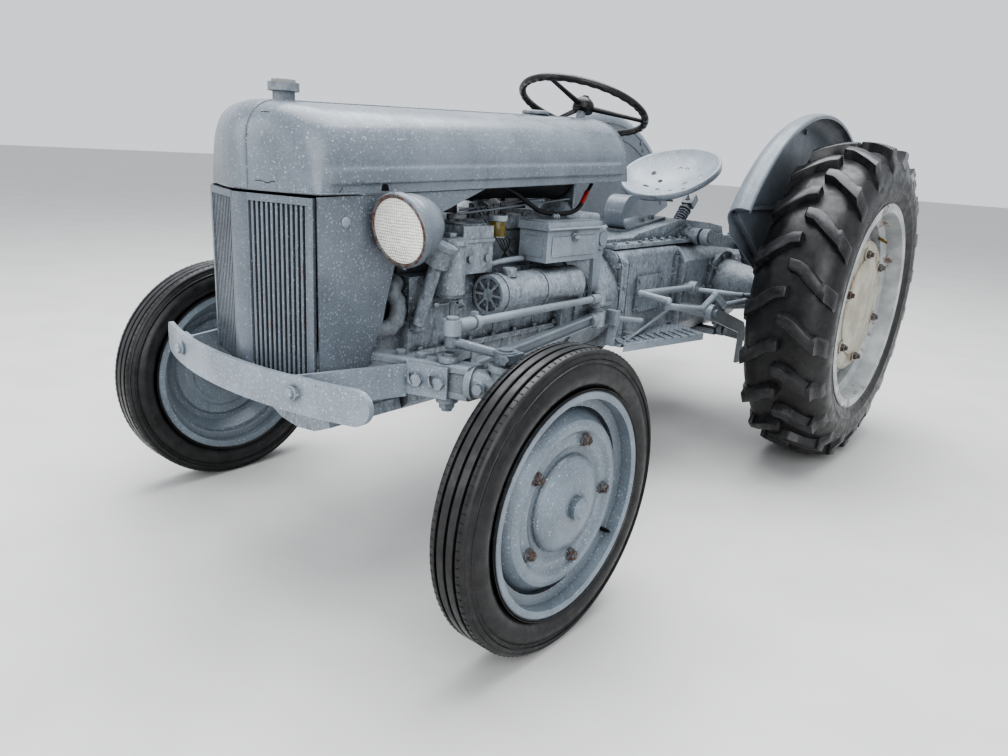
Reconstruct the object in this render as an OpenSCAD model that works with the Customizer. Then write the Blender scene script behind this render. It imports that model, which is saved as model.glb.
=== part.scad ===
// Vintage utility farm tractor, millimetres.
// +Z is up, the nose points to -Y and the driver's left is +X.
// The origin is on the ground in the middle of the overall length and width.

/* [Stance] */
// Distance from front axle to rear axle
wheelbase = 1778; // [1700:1:1860]
// Bumper face ahead of the front axle
front_reach = 392; // [375:1:420]
// Distance between the middles of the front tyres
front_tread = 1326; // [1300:1:1420]
// Distance between the middles of the rear tyres
rear_tread = 1330; // [1310:1:1420]

/* [Front wheels] */
// Outer radius of a front tyre
front_tyre_r = 344; // [336:1:352]
// Width of a front tyre
front_tyre_w = 110; // [100:1:120]
// Bead seat radius of a front rim
front_rim_r = 241; // [235:1:246]
// Number of front wheel bolts
front_bolts = 5; // [4:1:6]

/* [Rear wheels] */
// Outer radius over the lugs of a rear tyre
rear_tyre_r = 592; // [580:1:600]
// Width of a rear tyre
rear_tyre_w = 296; // [280:1:306]
// Bead seat radius of a rear rim
rear_rim_r = 356; // [350:1:362]
// Lugs on each half of a rear tyre
lug_count = 20; // [16:1:24]
// Width of one lug
lug_w = 44; // [34:1:50]
// Height of a lug over the casing
lug_h = 32; // [26:1:38]
// Number of rear wheel bolts
rear_bolts = 6; // [5:1:8]

/* [Front axle] */
// Half distance between the king pins
kingpin_x = 500; // [490:1:510]
// Sweep of the axle beam, centre ahead of the ends
sweep = 20; // [16:0.5:22]
// Height of the axle beam's middle line
axle_z = 560; // [550:1:570]
// Height of the axle beam section
axle_h = 82; // [70:1:90]
// King pin radius
kingpin_r = 16; // [14:0.5:18]
// Radius rod and steering ball line, inboard of the king pin
arm_in = 130; // [120:1:135]

/* [Engine] */
// Engine front face behind the front axle
engine_d = 30; // [20:1:45]
// Engine length to the clutch housing joint
engine_len = 700; // [690:1:720]
// Half width of the crankcase
crankcase_x = 150; // [140:1:158]
// Half width of the cylinder block
block_x = 84; // [76:1:90]
// Top of the crankcase
crankcase_z = 755; // [745:1:760]
// Top of the cylinder head
head_z = 900; // [890:1:910]
// Lowest face of the oil pan
pan_z = 398; // [390:1:410]

/* [Driveline] */
// Length of the gearbox casting
gearbox_len = 690; // [670:1:700]
// Half width of the clutch housing
clutch_x = 190; // [180:1:195]
// Half width of the gearbox
gearbox_x = 160; // [150:1:168]
// Top of the gearbox
gearbox_z = 772; // [765:1:780]
// Radius of the axle trumpet at its outer end
trumpet_r = 62; // [58:1:68]
// Radius of the brake drum cover
drum_r = 178; // [170:1:184]

/* [Hood] */
// Nose of the hood ahead of the front axle
nose_reach = 358; // [350:1:366]
// Hood length
hood_len = 1280; // [1270:1:1290]
// Hood half width
hood_x = 209; // [204:1:214]
// Lower edge of the hood at the nose
hood_low_z = 953; // [948:1:958]
// Hood top at the nose
hood_top_z = 1154; // [1148:1:1160]
// Rise of the hood lines over their length
hood_rise = 48; // [40:1:54]
// Sheet thickness used for bodywork
sheet = 4; // [3:0.5:5]

/* [Steering] */
// Steering lock each way in degrees
steer_lock = 40; // [35:1:40]
// Steering wheel radius
steering_wheel_r = 222; // [210:1:230]
// Lean of the steering column in degrees
column_tilt = 20; // [16:1:24]
// Length of a steering drop arm
drop_len = 186; // [180:1:192]

/* [Hitch] */
// Length of a lower link
lower_link_len = 762; // [750:1:775]
// Droop of the lower links at rest
link_droop = 15; // [12:0.5:16]
// Length of a lift arm
lift_arm_len = 280; // [270:1:285]
// Half spread of the link balls at the rear
link_spread = 345; // [335:1:355]

/* [Seat] */
// Seat pan radius
seat_r = 182; // [176:1:190]
// Height of the seat pan's underside at the front
seat_z = 950; // [946:1:956]

/* [Hidden] */
$fn = 48;
seat_gap = 0.3;    // space between pieces of different bodies that meet
pin_gap = 0.05;    // radial clearance of a pin in its bore

link_end_r = 30;
link_front_z = 400;
rear_reach = lower_link_len * cos(link_droop) + link_end_r;
front_axle_y = (front_reach - wheelbase - rear_reach) / 2;
rear_axle_y = front_axle_y + wheelbase;
front_axle_z = front_tyre_r;
rear_axle_z = rear_tyre_r;

engine_end = engine_d + engine_len;
gearbox_end = engine_end + gearbox_len;
housing_len = wheelbase - gearbox_end + 215;
front_wheel_x = front_tread / 2;
rear_wheel_x = rear_tread / 2;
grey = [0.47, 0.51, 0.54];
cream = [0.80, 0.79, 0.72];
black = [0.07, 0.07, 0.075];
steel = [0.62, 0.63, 0.64];

// Puts children at x, at d behind the front axle, at height z
module at(x, d, z) translate([x, front_axle_y + d, z]) children();
// Puts children at x, at d behind the rear axle, at height z
module at_rear(x, d, z) translate([x, rear_axle_y + d, z]) children();
// Draws children on the left and mirrored on the right
module both() { children(); mirror([1, 0, 0]) children(); }
// Cylinders lying along X and along Y, from the origin onwards
module along_x(r, h, r2 = undef) rotate([0, 90, 0]) cylinder(r1 = r, r2 = is_undef(r2) ? r : r2, h = h);
module along_y(r, h, r2 = undef) rotate([-90, 0, 0]) cylinder(r1 = r, r2 = is_undef(r2) ? r : r2, h = h);
// Round bar from point p to point q
module bar(p, q, r) along(p, q) cylinder(r = r, h = norm(q - p));
// Rounded bar: a bar with ball ends, for bent pipes and rods
module pipe(points, r, elbow = 1.04) {
    for (i = [0 : len(points) - 2]) bar(points[i], points[i + 1], r);
    for (i = [1 : 1 : len(points) - 2]) translate(points[i]) sphere(r = r * elbow);
}
// Rectangle w by h, centred, with round corners of radius r
module soft_rect(w, h, r) {
    square([w - 2 * r, h], center = true);
    square([w, h - 2 * r], center = true);
    for (x = [-1, 1], y = [-1, 1]) translate([x * (w / 2 - r), y * (h / 2 - r)]) circle(r = r);
}
// A plate t thick standing across X, from x outwards; its outline is given as [d, z] points
module plate_x(x, t, points) translate([x, front_axle_y, 0]) rotate([90, 0, 90]) linear_extrude(t)
    polygon(points);
module plate_rear_x(x, t, points) translate([x, rear_axle_y, 0]) rotate([90, 0, 90]) linear_extrude(t)
    polygon(points);
// A slab len long from d rearwards, whose section is drawn as x and z
module slab_y(d, len) translate([0, front_axle_y + d + len, 0]) rotate([90, 0, 0]) linear_extrude(len)
    children();
// A slab h high from z upwards, whose outline is drawn as x and d
module slab_z(z, h) translate([0, front_axle_y, z]) linear_extrude(h) children();
// Turns +Z of the children to run from point p towards point q
module along(p, q) {
    v = q - p;
    translate(p) rotate([0, acos(v[2] / norm(v)), atan2(v[1], v[0])]) children();
}
// Outline of a link: round ends of radius r1 and r2, len apart, with straight tangent sides
module link_2d(len, r1, r2) {
    a = acos((r1 - r2) / len);
    circle(r = r1);
    translate([len, 0]) circle(r = r2);
    polygon([[r1 * cos(a), r1 * sin(a)], [len + r2 * cos(a), r2 * sin(a)],
             [len + r2 * cos(a), -r2 * sin(a)], [r1 * cos(a), -r1 * sin(a)]]);
}
function axle_d(x) = -(kingpin_x - abs(x)) * tan(sweep);
// A point given by x, distance d behind the front axle, and height z
function place(x, d, z) = [x, front_axle_y + d, z];
function place_rear(x, d, z) = [x, rear_axle_y + d, z];

// Front end
pivot_d = axle_d(0);
boss_r = 46;
bolster_top = axle_z + boss_r + 18;
bolster_x = 118;
bolster_low = 372;
module front_bolster() {
    color(grey) difference() {
        union() {
            at(-150, pivot_d - 97, bolster_top - 16) cube([300, 179, 16]);
            both() {
                plate_x(bolster_x - 22, 22, [[pivot_d + 72, bolster_top - 10],
                    [engine_d - seat_gap, bolster_top - 10],
                    [engine_d - seat_gap, bolster_low + 40], [pivot_d + 10, bolster_low + 30],
                    [pivot_d - 10, bolster_low + 50], [pivot_d + 10, axle_z - boss_r - 14],
                    [pivot_d + 72, axle_z - boss_r - 14]]);
                plate_x(60, 12, [[pivot_d + 60, bolster_top - 8], [engine_d - 30, bolster_top - 8],
                    [engine_d - 30, bolster_top + 30], [pivot_d + 110, bolster_top + 4]]);
            }
            // Boat-shaped lower shell under the axle
            slab_y(pivot_d - 18, engine_d - pivot_d + 18 - seat_gap)
                polygon([[-bolster_x - 14, bolster_low + 34],
                [-70, bolster_low + 8], [0, bolster_low], [70, bolster_low + 8],
                    [bolster_x + 14, bolster_low + 34],
                [bolster_x + 4, bolster_low + 62], [-bolster_x - 4, bolster_low + 62]]);
            slab_y(pivot_d + 72, 22) translate([0, 525]) soft_rect(2 * bolster_x - 4, 190, 12);
            at(0, pivot_d - 62, axle_z) along_y(boss_r, 24);
            at(-boss_r, pivot_d - 62, axle_z) cube([2 * boss_r, 24, bolster_top - axle_z - 8]);
            both() plate_x(boss_r - 14, 10, [[pivot_d - 62, axle_z + 20], [pivot_d - 62, bolster_top - 8],
                [pivot_d - 104, bolster_top - 8]]);
        }
        at(0, pivot_d - 80, axle_z) along_y(20, 200);
    }
    color(grey) {
        at(0, pivot_d - 70, axle_z) along_y(20, 170);
        at(0, pivot_d - 76, axle_z) along_y(28, 14);
    }
}

module front_axle() {
    half = kingpin_x - 45;
    color(grey) difference() {
        union() {
            intersection() {
                union() for (s = [-1, 1])
                    at(0, pivot_d, axle_z) rotate([0, 0, s > 0 ? sweep : 180 - sweep]) rotate([90, 0, 90])
                        linear_extrude(half / cos(sweep)) beam_section();
                at(0, pivot_d, axle_z) cube([2 * half - 40, 700, 300], center = true);
            }
            at(0, pivot_d - 31, axle_z) along_y(boss_r, 62);
            both() {
                at(half - 34, axle_d(half - 34), axle_z) rotate([0, 0, sweep]) along_x(34, 92);
                at(half - 34, axle_d(half - 34), axle_z) rotate([0, 0, sweep]) along_x(40, 16);
                at(kingpin_x, 0, axle_z - 55) cylinder(r = 32, h = 110);
                for (z = [-55, 41]) at(kingpin_x, 0, axle_z + z) cylinder(r = 38, h = 14);
                // Front bolt of each extension
                at(458, axle_d(458), axle_z) rotate([0, 0, sweep]) translate([0, -46, 0]) along_y(15, 20);
                at(458, axle_d(458), axle_z) rotate([0, 0, sweep]) translate([0, -54, 0])
                    rotate([-90, 0, 0]) cylinder(r = 12, h = 10, $fn = 6);
                // Clamp bolts that hold each extension in the beam
                for (x = [half - 150, half - 200]) at(x, axle_d(x), axle_z + axle_h / 2 - 3)
                    cylinder(r = 13, h = 13, $fn = 6);
            }
        }
        at(0, pivot_d - 60, axle_z) along_y(20 + seat_gap, 120);
        both() at(kingpin_x, 0, axle_z - 80) cylinder(r = kingpin_r + pin_gap, h = 160);
        both() at(rod_x, axle_d(rod_x), axle_z - 80) cylinder(r = 13 + seat_gap, h = 160);
    }
}
// Forged beam: two flanges and a thinner web between them
module beam_section() {
    difference() {
        soft_rect(54, axle_h, 8);
        for (s = [-1, 1]) translate([s * 33, 0]) soft_rect(22, axle_h - 34, 8);
    }
}

rod_x = kingpin_x - arm_in;
rod_rear = place(clutch_x + 30, engine_end + 66, 570);
rod_front = place(rod_x, axle_d(rod_x), axle_z);
module radius_rods() {
    yoke_z = axle_h / 2 + seat_gap;
    v = rod_rear - rod_front;
    turn = atan2(v[1], v[0]);
    color(grey) both() {
        for (z = [yoke_z, -yoke_z - 14]) translate(rod_front + [0, 0, z]) linear_extrude(14) {
            circle(r = 26);
            rotate(turn) translate([0, -20]) square([78, 40]);
        }
        translate(rod_front) rotate([0, 0, turn]) translate([64, -22, -yoke_z - 16])
            cube([24, 44, 2 * yoke_z + 32]);
        along(rod_front, rod_rear) translate([0, 0, 78]) linear_extrude(norm(v) - 90) rod_section();
        along(rod_front, rod_rear) translate([0, 0, 80]) cylinder(r = 23, h = 26);
        along(rod_front, rod_rear) translate([0, 0, norm(v) - 60]) cylinder(r = 22.5, h = 57);
        translate(rod_rear + [0, 0, -24]) cylinder(r = 27, h = 48);
        translate(rod_rear + [0, 0, -32]) cylinder(r = 18, h = 64);
        translate(rod_front + [0, 0, -yoke_z - 36]) cylinder(r = 13, h = 2 * yoke_z + 56);
        translate(rod_front + [0, 0, -yoke_z - 29]) cylinder(r = 19, h = 16, $fn = 6);
    }
}
// I-section of a radius rod
module rod_section() difference() {
    soft_rect(38, 24, 4);
    for (s = [-1, 1]) translate([0, s * 12]) square([24, 14], center = true);
}

steer_rise = 76;
module spindle() {
    arm_z = axle_z + steer_rise;
    low = front_axle_z - 34;
    color(grey) {
        at(kingpin_x, 0, front_axle_z - 20) cylinder(r = kingpin_r, h = arm_z - front_axle_z + 34);
        at(kingpin_x, 0, low) cylinder(r = 31, h = axle_z - 55 - seat_gap - low);
        at(kingpin_x, 0, axle_z - 55 - seat_gap - 10) cylinder(r = 37, h = 10);
        at(kingpin_x, 0, front_axle_z) along_x(34, 60, 26);
        at(kingpin_x, 0, front_axle_z) along_x(24, front_wheel_x - 50 - kingpin_x);
        at(kingpin_x, 0, front_axle_z) along_x(14, front_wheel_x + 55 - kingpin_x);
        at(kingpin_x, 0, axle_z + 55 + seat_gap) cylinder(r = 27, h = arm_z - axle_z - 45);
        // Steering arm: forged bar from the split eye on the king pin up to the ball
        bar(place(kingpin_x - 18, -1, arm_z - 2), place(rod_x + 6, axle_d(rod_x) + 8, arm_z + 12), 11);
        at(rod_x, axle_d(rod_x) + 8, arm_z) cylinder(r = 17, h = 26);
        at(rod_x, axle_d(rod_x) + 8, arm_z - 7) cylinder(r = 15, h = 8, $fn = 6);
        at(kingpin_x + 16, -26, arm_z - 12) cube([16, 52, 20]);
        at(kingpin_x + 24, -34, arm_z - 2) along_y(7, 68);
        at(kingpin_x + 24, -38, arm_z - 2) rotate([-90, 0, 0]) cylinder(r = 11, h = 8, $fn = 6);
    }
}
module spindle_left() spindle();
module spindle_right() mirror([1, 0, 0]) spindle();

// Wheels, drawn about +Z and turned so that +Z points outwards
front_bolt_r = 145;
module front_wheel() {
    r = front_rim_r;
    color(grey) at(front_wheel_x, 0, front_axle_z) rotate([0, 90, 0]) difference() {
        union() {
            rotate_extrude() polygon([[r + 17, -50], [r + 17, -45], [r + 2, -44], [r + 2, -20],
                [r - 20, -14],
                [r - 20, 14], [r + 2, 20], [r + 2, 44], [r + 17, 45], [r + 17, 50], [r + 12, 53],
                    [r - 2, 50],
                [r - 4, 22], [r - 26, 16], [r - 26, -16], [r - 4, -22], [r - 4, -50]]);
            // Disc with a raised ring
            rotate_extrude() polygon([[60, 14], [128, 20], [136, 24], [160, 24], [168, 30], [176, 31],
                [184, 28],
                [208, -2], [r - 24, -6], [r - 24, 0], [212, 4], [189, 34], [178, 38], [166, 37], [156, 30],
                [134, 30], [124, 26], [60, 20]]);
            translate([0, 0, -44]) cylinder(r = 62, h = 64);
            // Domed cap and grease cap
            rotate_extrude() polygon(concat([[0, 16], [112, 16]],
                [for (a = [0 : 10 : 60]) [40 + 72 * cos(a), 24 + 34 * sin(a)]], [[36, 58], [0, 58]]));
            translate([0, 0, 50]) cylinder(r = 26, h = 22);
            translate([0, 0, 70]) cylinder(r1 = 26, r2 = 18, h = 8);
            for (i = [0 : front_bolts - 1]) rotate([0, 0, 360 / front_bolts * i + 15])
                translate([front_bolt_r, 0, 28]) {
                cylinder(r = 17, h = 3);
                cylinder(r = 11, h = 14, $fn = 6);
            }
        }
        translate([0, 0, -60]) cylinder(r = 31, h = 40);
        translate([0, 0, -30]) cylinder(r = 14 + pin_gap, h = 88);
    }
}
module front_wheel_left() front_wheel();
module front_wheel_right() mirror([1, 0, 0]) front_wheel();

module front_tyre() {
    ball_r = front_tyre_w / 2;
    mid_r = front_rim_r + 50;
    color(black) at(front_wheel_x, 0, front_axle_z) rotate([0, 90, 0]) rotate_extrude()
        difference() {
            union() {
                translate([mid_r, 0]) circle(r = ball_r);
                translate([(mid_r + front_tyre_r) / 2, 0]) soft_rect(front_tyre_r - mid_r, 88, 14);
                translate([front_rim_r + 2, -44]) square([50, 88]);
            }
            translate([0, -100]) square([front_rim_r + 2, 200]);
            for (x = [-24, 0, 24]) translate([front_tyre_r - 7, x - 3]) square([20, 6]);
        }
}
module front_tyre_left() front_tyre();
module front_tyre_right() mirror([1, 0, 0]) front_tyre();

// The rear disc stands well outboard of the rim's middle
disc_face = 88;
disc_r = 250;
rear_bolt_r = 203;
module rear_wheel() {
    w = rear_tyre_w / 2 - 16;
    r = rear_rim_r;
    color(cream) at_rear(rear_wheel_x, 0, rear_axle_z) rotate([0, 90, 0]) difference() {
        union() {
            rotate_extrude() polygon([[r + 28, -w], [r + 28, -w + 6], [r + 4, -w + 8], [r, -w + 60],
                [r - 24, -w + 72],
                [r - 24, w - 72], [r, w - 60], [r + 4, w - 8], [r + 28, w - 6], [r + 28, w],
                    [r + 22, w + 3],
                [r - 4, w], [r - 8, w - 58], [r - 32, w - 72], [r - 32, -w + 72], [r - 8, -w + 58],
                    [r - 4, -w]]);
            // Dished disc: face, rolled edge, skirt and the flange that meets the rim
            rotate_extrude() polygon([[0, disc_face - 8], [disc_r - 22, disc_face - 8],
                [disc_r - 12, disc_face - 12],
                [disc_r - 7, disc_face - 22], [disc_r - 7, 30], [disc_r, 18], [r - 30, 18], [r - 30, 26],
                [disc_r + 6, 26], [disc_r, 34], [disc_r, disc_face - 20], [disc_r - 6, disc_face - 8],
                [disc_r - 18, disc_face], [188, disc_face], [184, disc_face + 5], [120, disc_face + 13],
                [50, disc_face + 16], [0, disc_face + 17]]);
            translate([0, 0, -70]) cylinder(r = 70, h = disc_face + 64);
            translate([0, 0, -70]) cylinder(r = 84, h = 30);
            for (i = [0 : rear_bolts - 1]) rotate([0, 0, 360 / rear_bolts * i + 12])
                translate([rear_bolt_r, 0, disc_face - 2]) {
                    cylinder(r = 22, h = 7);
                    cylinder(r = 15, h = 20, $fn = 6);
                    cylinder(r = 8, h = 28);
                }
            // Clamp lugs between disc flange and rim
            for (i = [0 : rear_bolts - 1]) rotate([0, 0, 360 / rear_bolts * i + 42])
                translate([disc_r + 8, -26, 20]) cube([r - disc_r - 39, 52, 16]);
        }
        translate([0, 0, -80]) cylinder(r = 30 + pin_gap, h = 90);
    }
}
module rear_wheel_left() rear_wheel();
module rear_wheel_right() mirror([1, 0, 0]) rear_wheel();

casing_r = rear_tyre_r - lug_h;
module rear_tyre() {
    bulge = 92;
    side = rear_tyre_w / 2 - bulge;
    color(black) at_rear(rear_wheel_x, 0, rear_axle_z) rotate([0, 90, 0]) {
        rotate_extrude() difference() {
            union() {
                for (s = [-1, 1]) translate([casing_r - bulge - 3, s * side]) circle(r = bulge);
                translate([rear_rim_r + 40, -side]) square([casing_r - rear_rim_r - 43, 2 * side]);
                translate([rear_rim_r + 4, -rear_tyre_w / 2 + 24]) square([80, rear_tyre_w - 48]);
            }
            translate([0, -300]) square([rear_rim_r + 5, 600]);
        }
        intersection() {
            rotate_extrude() intersection() {
                translate([rear_tyre_r - 420, 0]) circle(r = 420, $fn = 96);
                polygon([for (p = [[-96, -10], [-40, -14], [-8, -32], [60, -34], [60, 34], [-8, 32],
                    [-40, 14], [-96, 10]])
                    [casing_r + p[0], p[1] < 0 ? -rear_tyre_w / 2 - p[1] - 8 : rear_tyre_w / 2 - p[1] + 8]]);
            }
            union() for (i = [0 : lug_count - 1], s = [0, 1])
                rotate([0, 0, 360 / lug_count * (i + s / 2)]) mirror([0, 0, s]) lug();
        }
    }
}
// One lug: a hooked nose at the middle, a slanted bar and a stepped end at the shoulder
module lug() translate([casing_r - 80, 0, 0]) rotate([0, 90, 0]) linear_extrude(lug_h + 100)
    polygon([[8, 10 - lug_w / 2], [8, lug_w / 2 + 4], [-26, lug_w / 2], [-58, lug_w / 2 - 16],
             [-108, lug_w / 2 - 62], [-118, lug_w / 2 - 58], [-rear_tyre_w / 2, lug_w / 2 - 80],
             [-rear_tyre_w / 2, -92 - lug_w / 2], [-60, -28 - lug_w / 2], [-24, 2 - lug_w / 2]]);
module rear_tyre_left() rear_tyre();
module rear_tyre_right() mirror([1, 0, 0]) rear_tyre();

// Engine
fan_z = 866;
fan_r = 140;
bell_z = 600;
side_box_d = 178;
side_box_l = 118;
module engine() {
    flange_z = axle_z + 4;
    color(grey) {
        at(-crankcase_x, engine_d, flange_z) cube([2 * crankcase_x, engine_len - 80,
            crankcase_z - flange_z]);
        at(-block_x, engine_d + 20, crankcase_z - 1) cube([2 * block_x, engine_len - 140,
            head_z - crankcase_z - 44]);
        at(-block_x - 8, engine_d + 16, head_z - 46) cube([2 * block_x + 16, engine_len - 132, 34]);
        // Head bolts and plugs
        for (i = [0 : 6], x = [-block_x + 14, block_x - 14])
            at(x, engine_d + 60 + i * 80, head_z - 14) cylinder(r = 10, h = 14, $fn = 6);
        for (i = [0 : 3]) at(0, engine_d + 100 + i * 140, head_z - 14) {
            cylinder(r = 14, h = 10, $fn = 6);
            cylinder(r = 8, h = 34);
        }
        // Core plugs and ribs on the side of the crankcase
        for (d = [350, 480, 600]) at(block_x - 2, engine_d + d, 800) along_x(20, 8);
        for (d = [150, 330, 510]) both() at(crankcase_x - 2, engine_d + d, flange_z)
            cube([4, 14, crankcase_z - flange_z - 30]);
        both() at(crankcase_x - 2, engine_d + 6, flange_z + 118) cube([4, engine_len - 96, 12]);
        // Pan flange and oil pan with sloping sides
        at(-crankcase_x - 14, engine_d + 4, flange_z - 14) cube([2 * crankcase_x + 28, engine_len - 92,
            15]);
        slab_y(engine_d + 12, engine_len - 104) polygon([[-crankcase_x, flange_z - 12],
            [-crankcase_x + 8, pan_z + 22],
            [-crankcase_x + 34, pan_z], [crankcase_x - 34, pan_z], [crankcase_x - 8, pan_z + 22],
            [crankcase_x, flange_z - 12]]);
        for (i = [0 : 6]) both() at(crankcase_x + 6, engine_d + 40 + i * 84, flange_z - 20)
            cylinder(r = 8, h = 8, $fn = 6);
        // Rear plate that carries the clutch housing
        at(0, engine_end - 82, bell_z) rotate([-90, 0, 0]) linear_extrude(82) rotate(180)
            bell_2d(clutch_x - 8, 150);
        at(0, engine_end - 18, bell_z) rotate([-90, 0, 0]) linear_extrude(18) rotate(180)
            bell_2d(clutch_x, 160);
        // Timing cover, water pump and crank pulley
        slab_y(engine_d - 26, 28) translate([0, 680]) soft_rect(144, 130, 40);
        at(0, engine_d - 34, fan_z) along_y(34, 60);
        at(-30, engine_d - 26, 720) cube([60, 28, 140]);
        at(28, 6, 738) along_x(19, 72);
        at(0, engine_d - 52, 600) along_y(50, 54);
    }
}
// Outline of the clutch housing: round top and sides, flatter bottom
module bell_2d(half, low) {
    intersection() {
        circle(r = half + 12, $fn = 96);
        translate([-half, -low]) square([2 * half, low + crankcase_z - bell_z + 8]);
    }
}
module fan() {
    color(grey) at(0, engine_d - 34 - seat_gap - 32, fan_z) {
        along_y(34, 32);
        along_y(52, 10);
        for (i = [0 : 3]) rotate([0, 90 * i, 0]) translate([28, 6.5, 0])
            rotate([20, 0, 0]) translate([0, -1.5, -30]) cube([fan_r - 28, 3, 60]);
    }
}
radiator_d = 256;
radiator_low = bolster_top + seat_gap;
// Lower hose: out of the bottom tank, round one bend beside the engine, into the pump's inlet
hose_points = [place(140, -200, 648), place(140, -96, 648), place(140, -66, 631), place(140, -22, 633),
    place(140, -3, 648), place(140, 4, 672), place(140, 0, 696), place(138, -14, 716), place(133, -8, 732),
    place(123, 6, 738), place(100 + seat_gap, 6, 738)];
module radiator() {
    top = hood_top_z - 36;
    color(grey) {
        // Core between two posts, with header plates
        at(-160, -radiator_d + 4, radiator_low) cube([320, 60, 420]);
        both() at(160, -radiator_d, radiator_low) cube([18, 70, 430]);
        for (z = [radiator_low, radiator_low + 416]) at(-186, -radiator_d - 4, z) cube([372, 78, 14]);
        slab_y(-radiator_d, 70) translate([0, (radiator_low + 425 + top) / 2])
            soft_rect(340, top - radiator_low - 425, 22);
        at(0, -221, top - 6) cylinder(r = 24, h = 56);
        at(0, -221, hood_top_z + 14) cylinder(r = 34, h = 18);
        at(0, -221, hood_top_z + 30) cylinder(r = 26, h = 8);
        // Lower hose on the left with its clamps
        pipe(hose_points, 21);
        along(hose_points[0], hose_points[1]) translate([0, 0, 6]) cylinder(r = 24, h = 14);
        along(hose_points[10], hose_points[9]) translate([0, 0, 3]) cylinder(r = 24, h = 10);
    }
}
module engine_side_box() {
    z = crankcase_z + seat_gap;
    color(grey) {
        at(block_x + 11, side_box_d, z) cube([95, side_box_l, 84]);
        at(block_x + 8, side_box_d - 3, z + 82) cube([101, side_box_l + 6, 8]);
        at(block_x + 11, side_box_d, z + 90) cube([95, side_box_l, 34]);
        at(block_x + 24, side_box_d + 14, z + 122) cube([69, side_box_l - 28, 6]);
        for (d = [26, side_box_l - 26]) at(block_x + 105, side_box_d + d, z + 40) along_x(9, 8);
    }
}
module oil_fittings() {
    color(grey) {
        // Oil filter can with lid band, bowl bottom and bracket
        at(192, 132, 714) cylinder(r = 39, h = 140);
        at(192, 132, 702) cylinder(r1 = 26, r2 = 39, h = 12);
        at(192, 132, 838) cylinder(r = 43, h = 14);
        at(192, 132, 852) cylinder(r = 14, h = 14, $fn = 6);
        at(crankcase_x + seat_gap, 112, 722) cube([22, 40, 26]);
        // Filler tube with its cap
        bar(place(171, 44, 640), place(226, 50, 805), 17);
        bar(place(222, 48, 795), place(240, 58, 845), 31);
        bar(place(237, 56, 836), place(241, 58.5, 848), 34);
        at(crankcase_x + 2 + seat_gap, engine_d + 4, 622) cube([26, 32, 34]);
        // Fuel sediment bowl under the tank side
        at(172, 332, 846) cylinder(r = 22, h = 46);
        at(172, 332, 890) cylinder(r = 26, h = 14);
        at(block_x, 326, head_z - 12 + seat_gap) cube([172 - block_x, 12, 10]);
    }
}
starter_d = 262;
starter_z = 698;
module starter_and_generator() {
    color(grey) {
        at(210, starter_d, starter_z) difference() {
            along_y(54, engine_end - 82 - seat_gap - starter_d);
            // Star-shaped end cap: a sunk face with eight spokes left standing
            difference() {
                translate([0, -1, 0]) along_y(45, 9);
                for (i = [0 : 3]) rotate([0, 45 * i, 0]) translate([-46, -2, -3.5]) cube([92, 12, 7]);
                translate([0, -2, 0]) along_y(17, 12);
            }
        }
        at(210, starter_d + 26, starter_z) along_y(57, 12);
        at(210, starter_d + 200, starter_z) along_y(57, 10);
        at(crankcase_x + 2 + seat_gap, starter_d + 60, starter_z - 30) cube([30, 40, 60]);
        at(224, starter_d + 70, starter_z + 48) cylinder(r = 20, h = 22);
        // Generator on the right with its bracket
        at(-205, 60, 822) along_y(58, 200);
        for (d = [56, 250]) at(-205, d, 822) along_y(62, 14);
        at(-205, 30, 822) along_y(38, 26);
        at(-190, 100, crankcase_z + seat_gap) cube([30, 100, 30]);
    }
}
module manifold() {
    x = -block_x - 8 - seat_gap;
    color(grey) {
        at(x - 36, 130, 790) cube([36, 400, 50]);
        for (d = [150, 270, 390, 500]) at(x - 40, d, 815) along_x(26, 40);
        pipe([place(-125, 380, 812), place(-200, 430, 780), place(-200, 470, 460), place(-205, 560, 400),
              place(-205, 992, 400)], 20);
        at(-205, 990, 400) along_y(50, 330);
        for (d = [986, 1316]) at(-205, d, 400) along_y(54, 12);
        pipe([place(-205, 1320, 400), place(-205, 1400, 400), place(-250, 1470, 400)], 20);
        // Carburettor under the manifold
        at(-228, 280, 770) cube([106, 66, 40]);
        at(-196, 313, 700) cylinder(r = 32, h = 72);
        at(-196, 313, 668) cylinder(r = 26, h = 34);
        at(-240, 300, 730) along_x(16, 50);
    }
}
module air_cleaner() {
    color(grey) {
        at(-190, 640, crankcase_z + 15) cylinder(r = 62, h = 120);
        at(-190, 640, crankcase_z + 30) cylinder(r = 66, h = 10);
        at(-190, 640, crankcase_z + 134) cylinder(r1 = 62, r2 = 30, h = 20);
        at(-190, 640, crankcase_z + 150) cylinder(r = 30, h = 26);
    }
}

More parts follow.
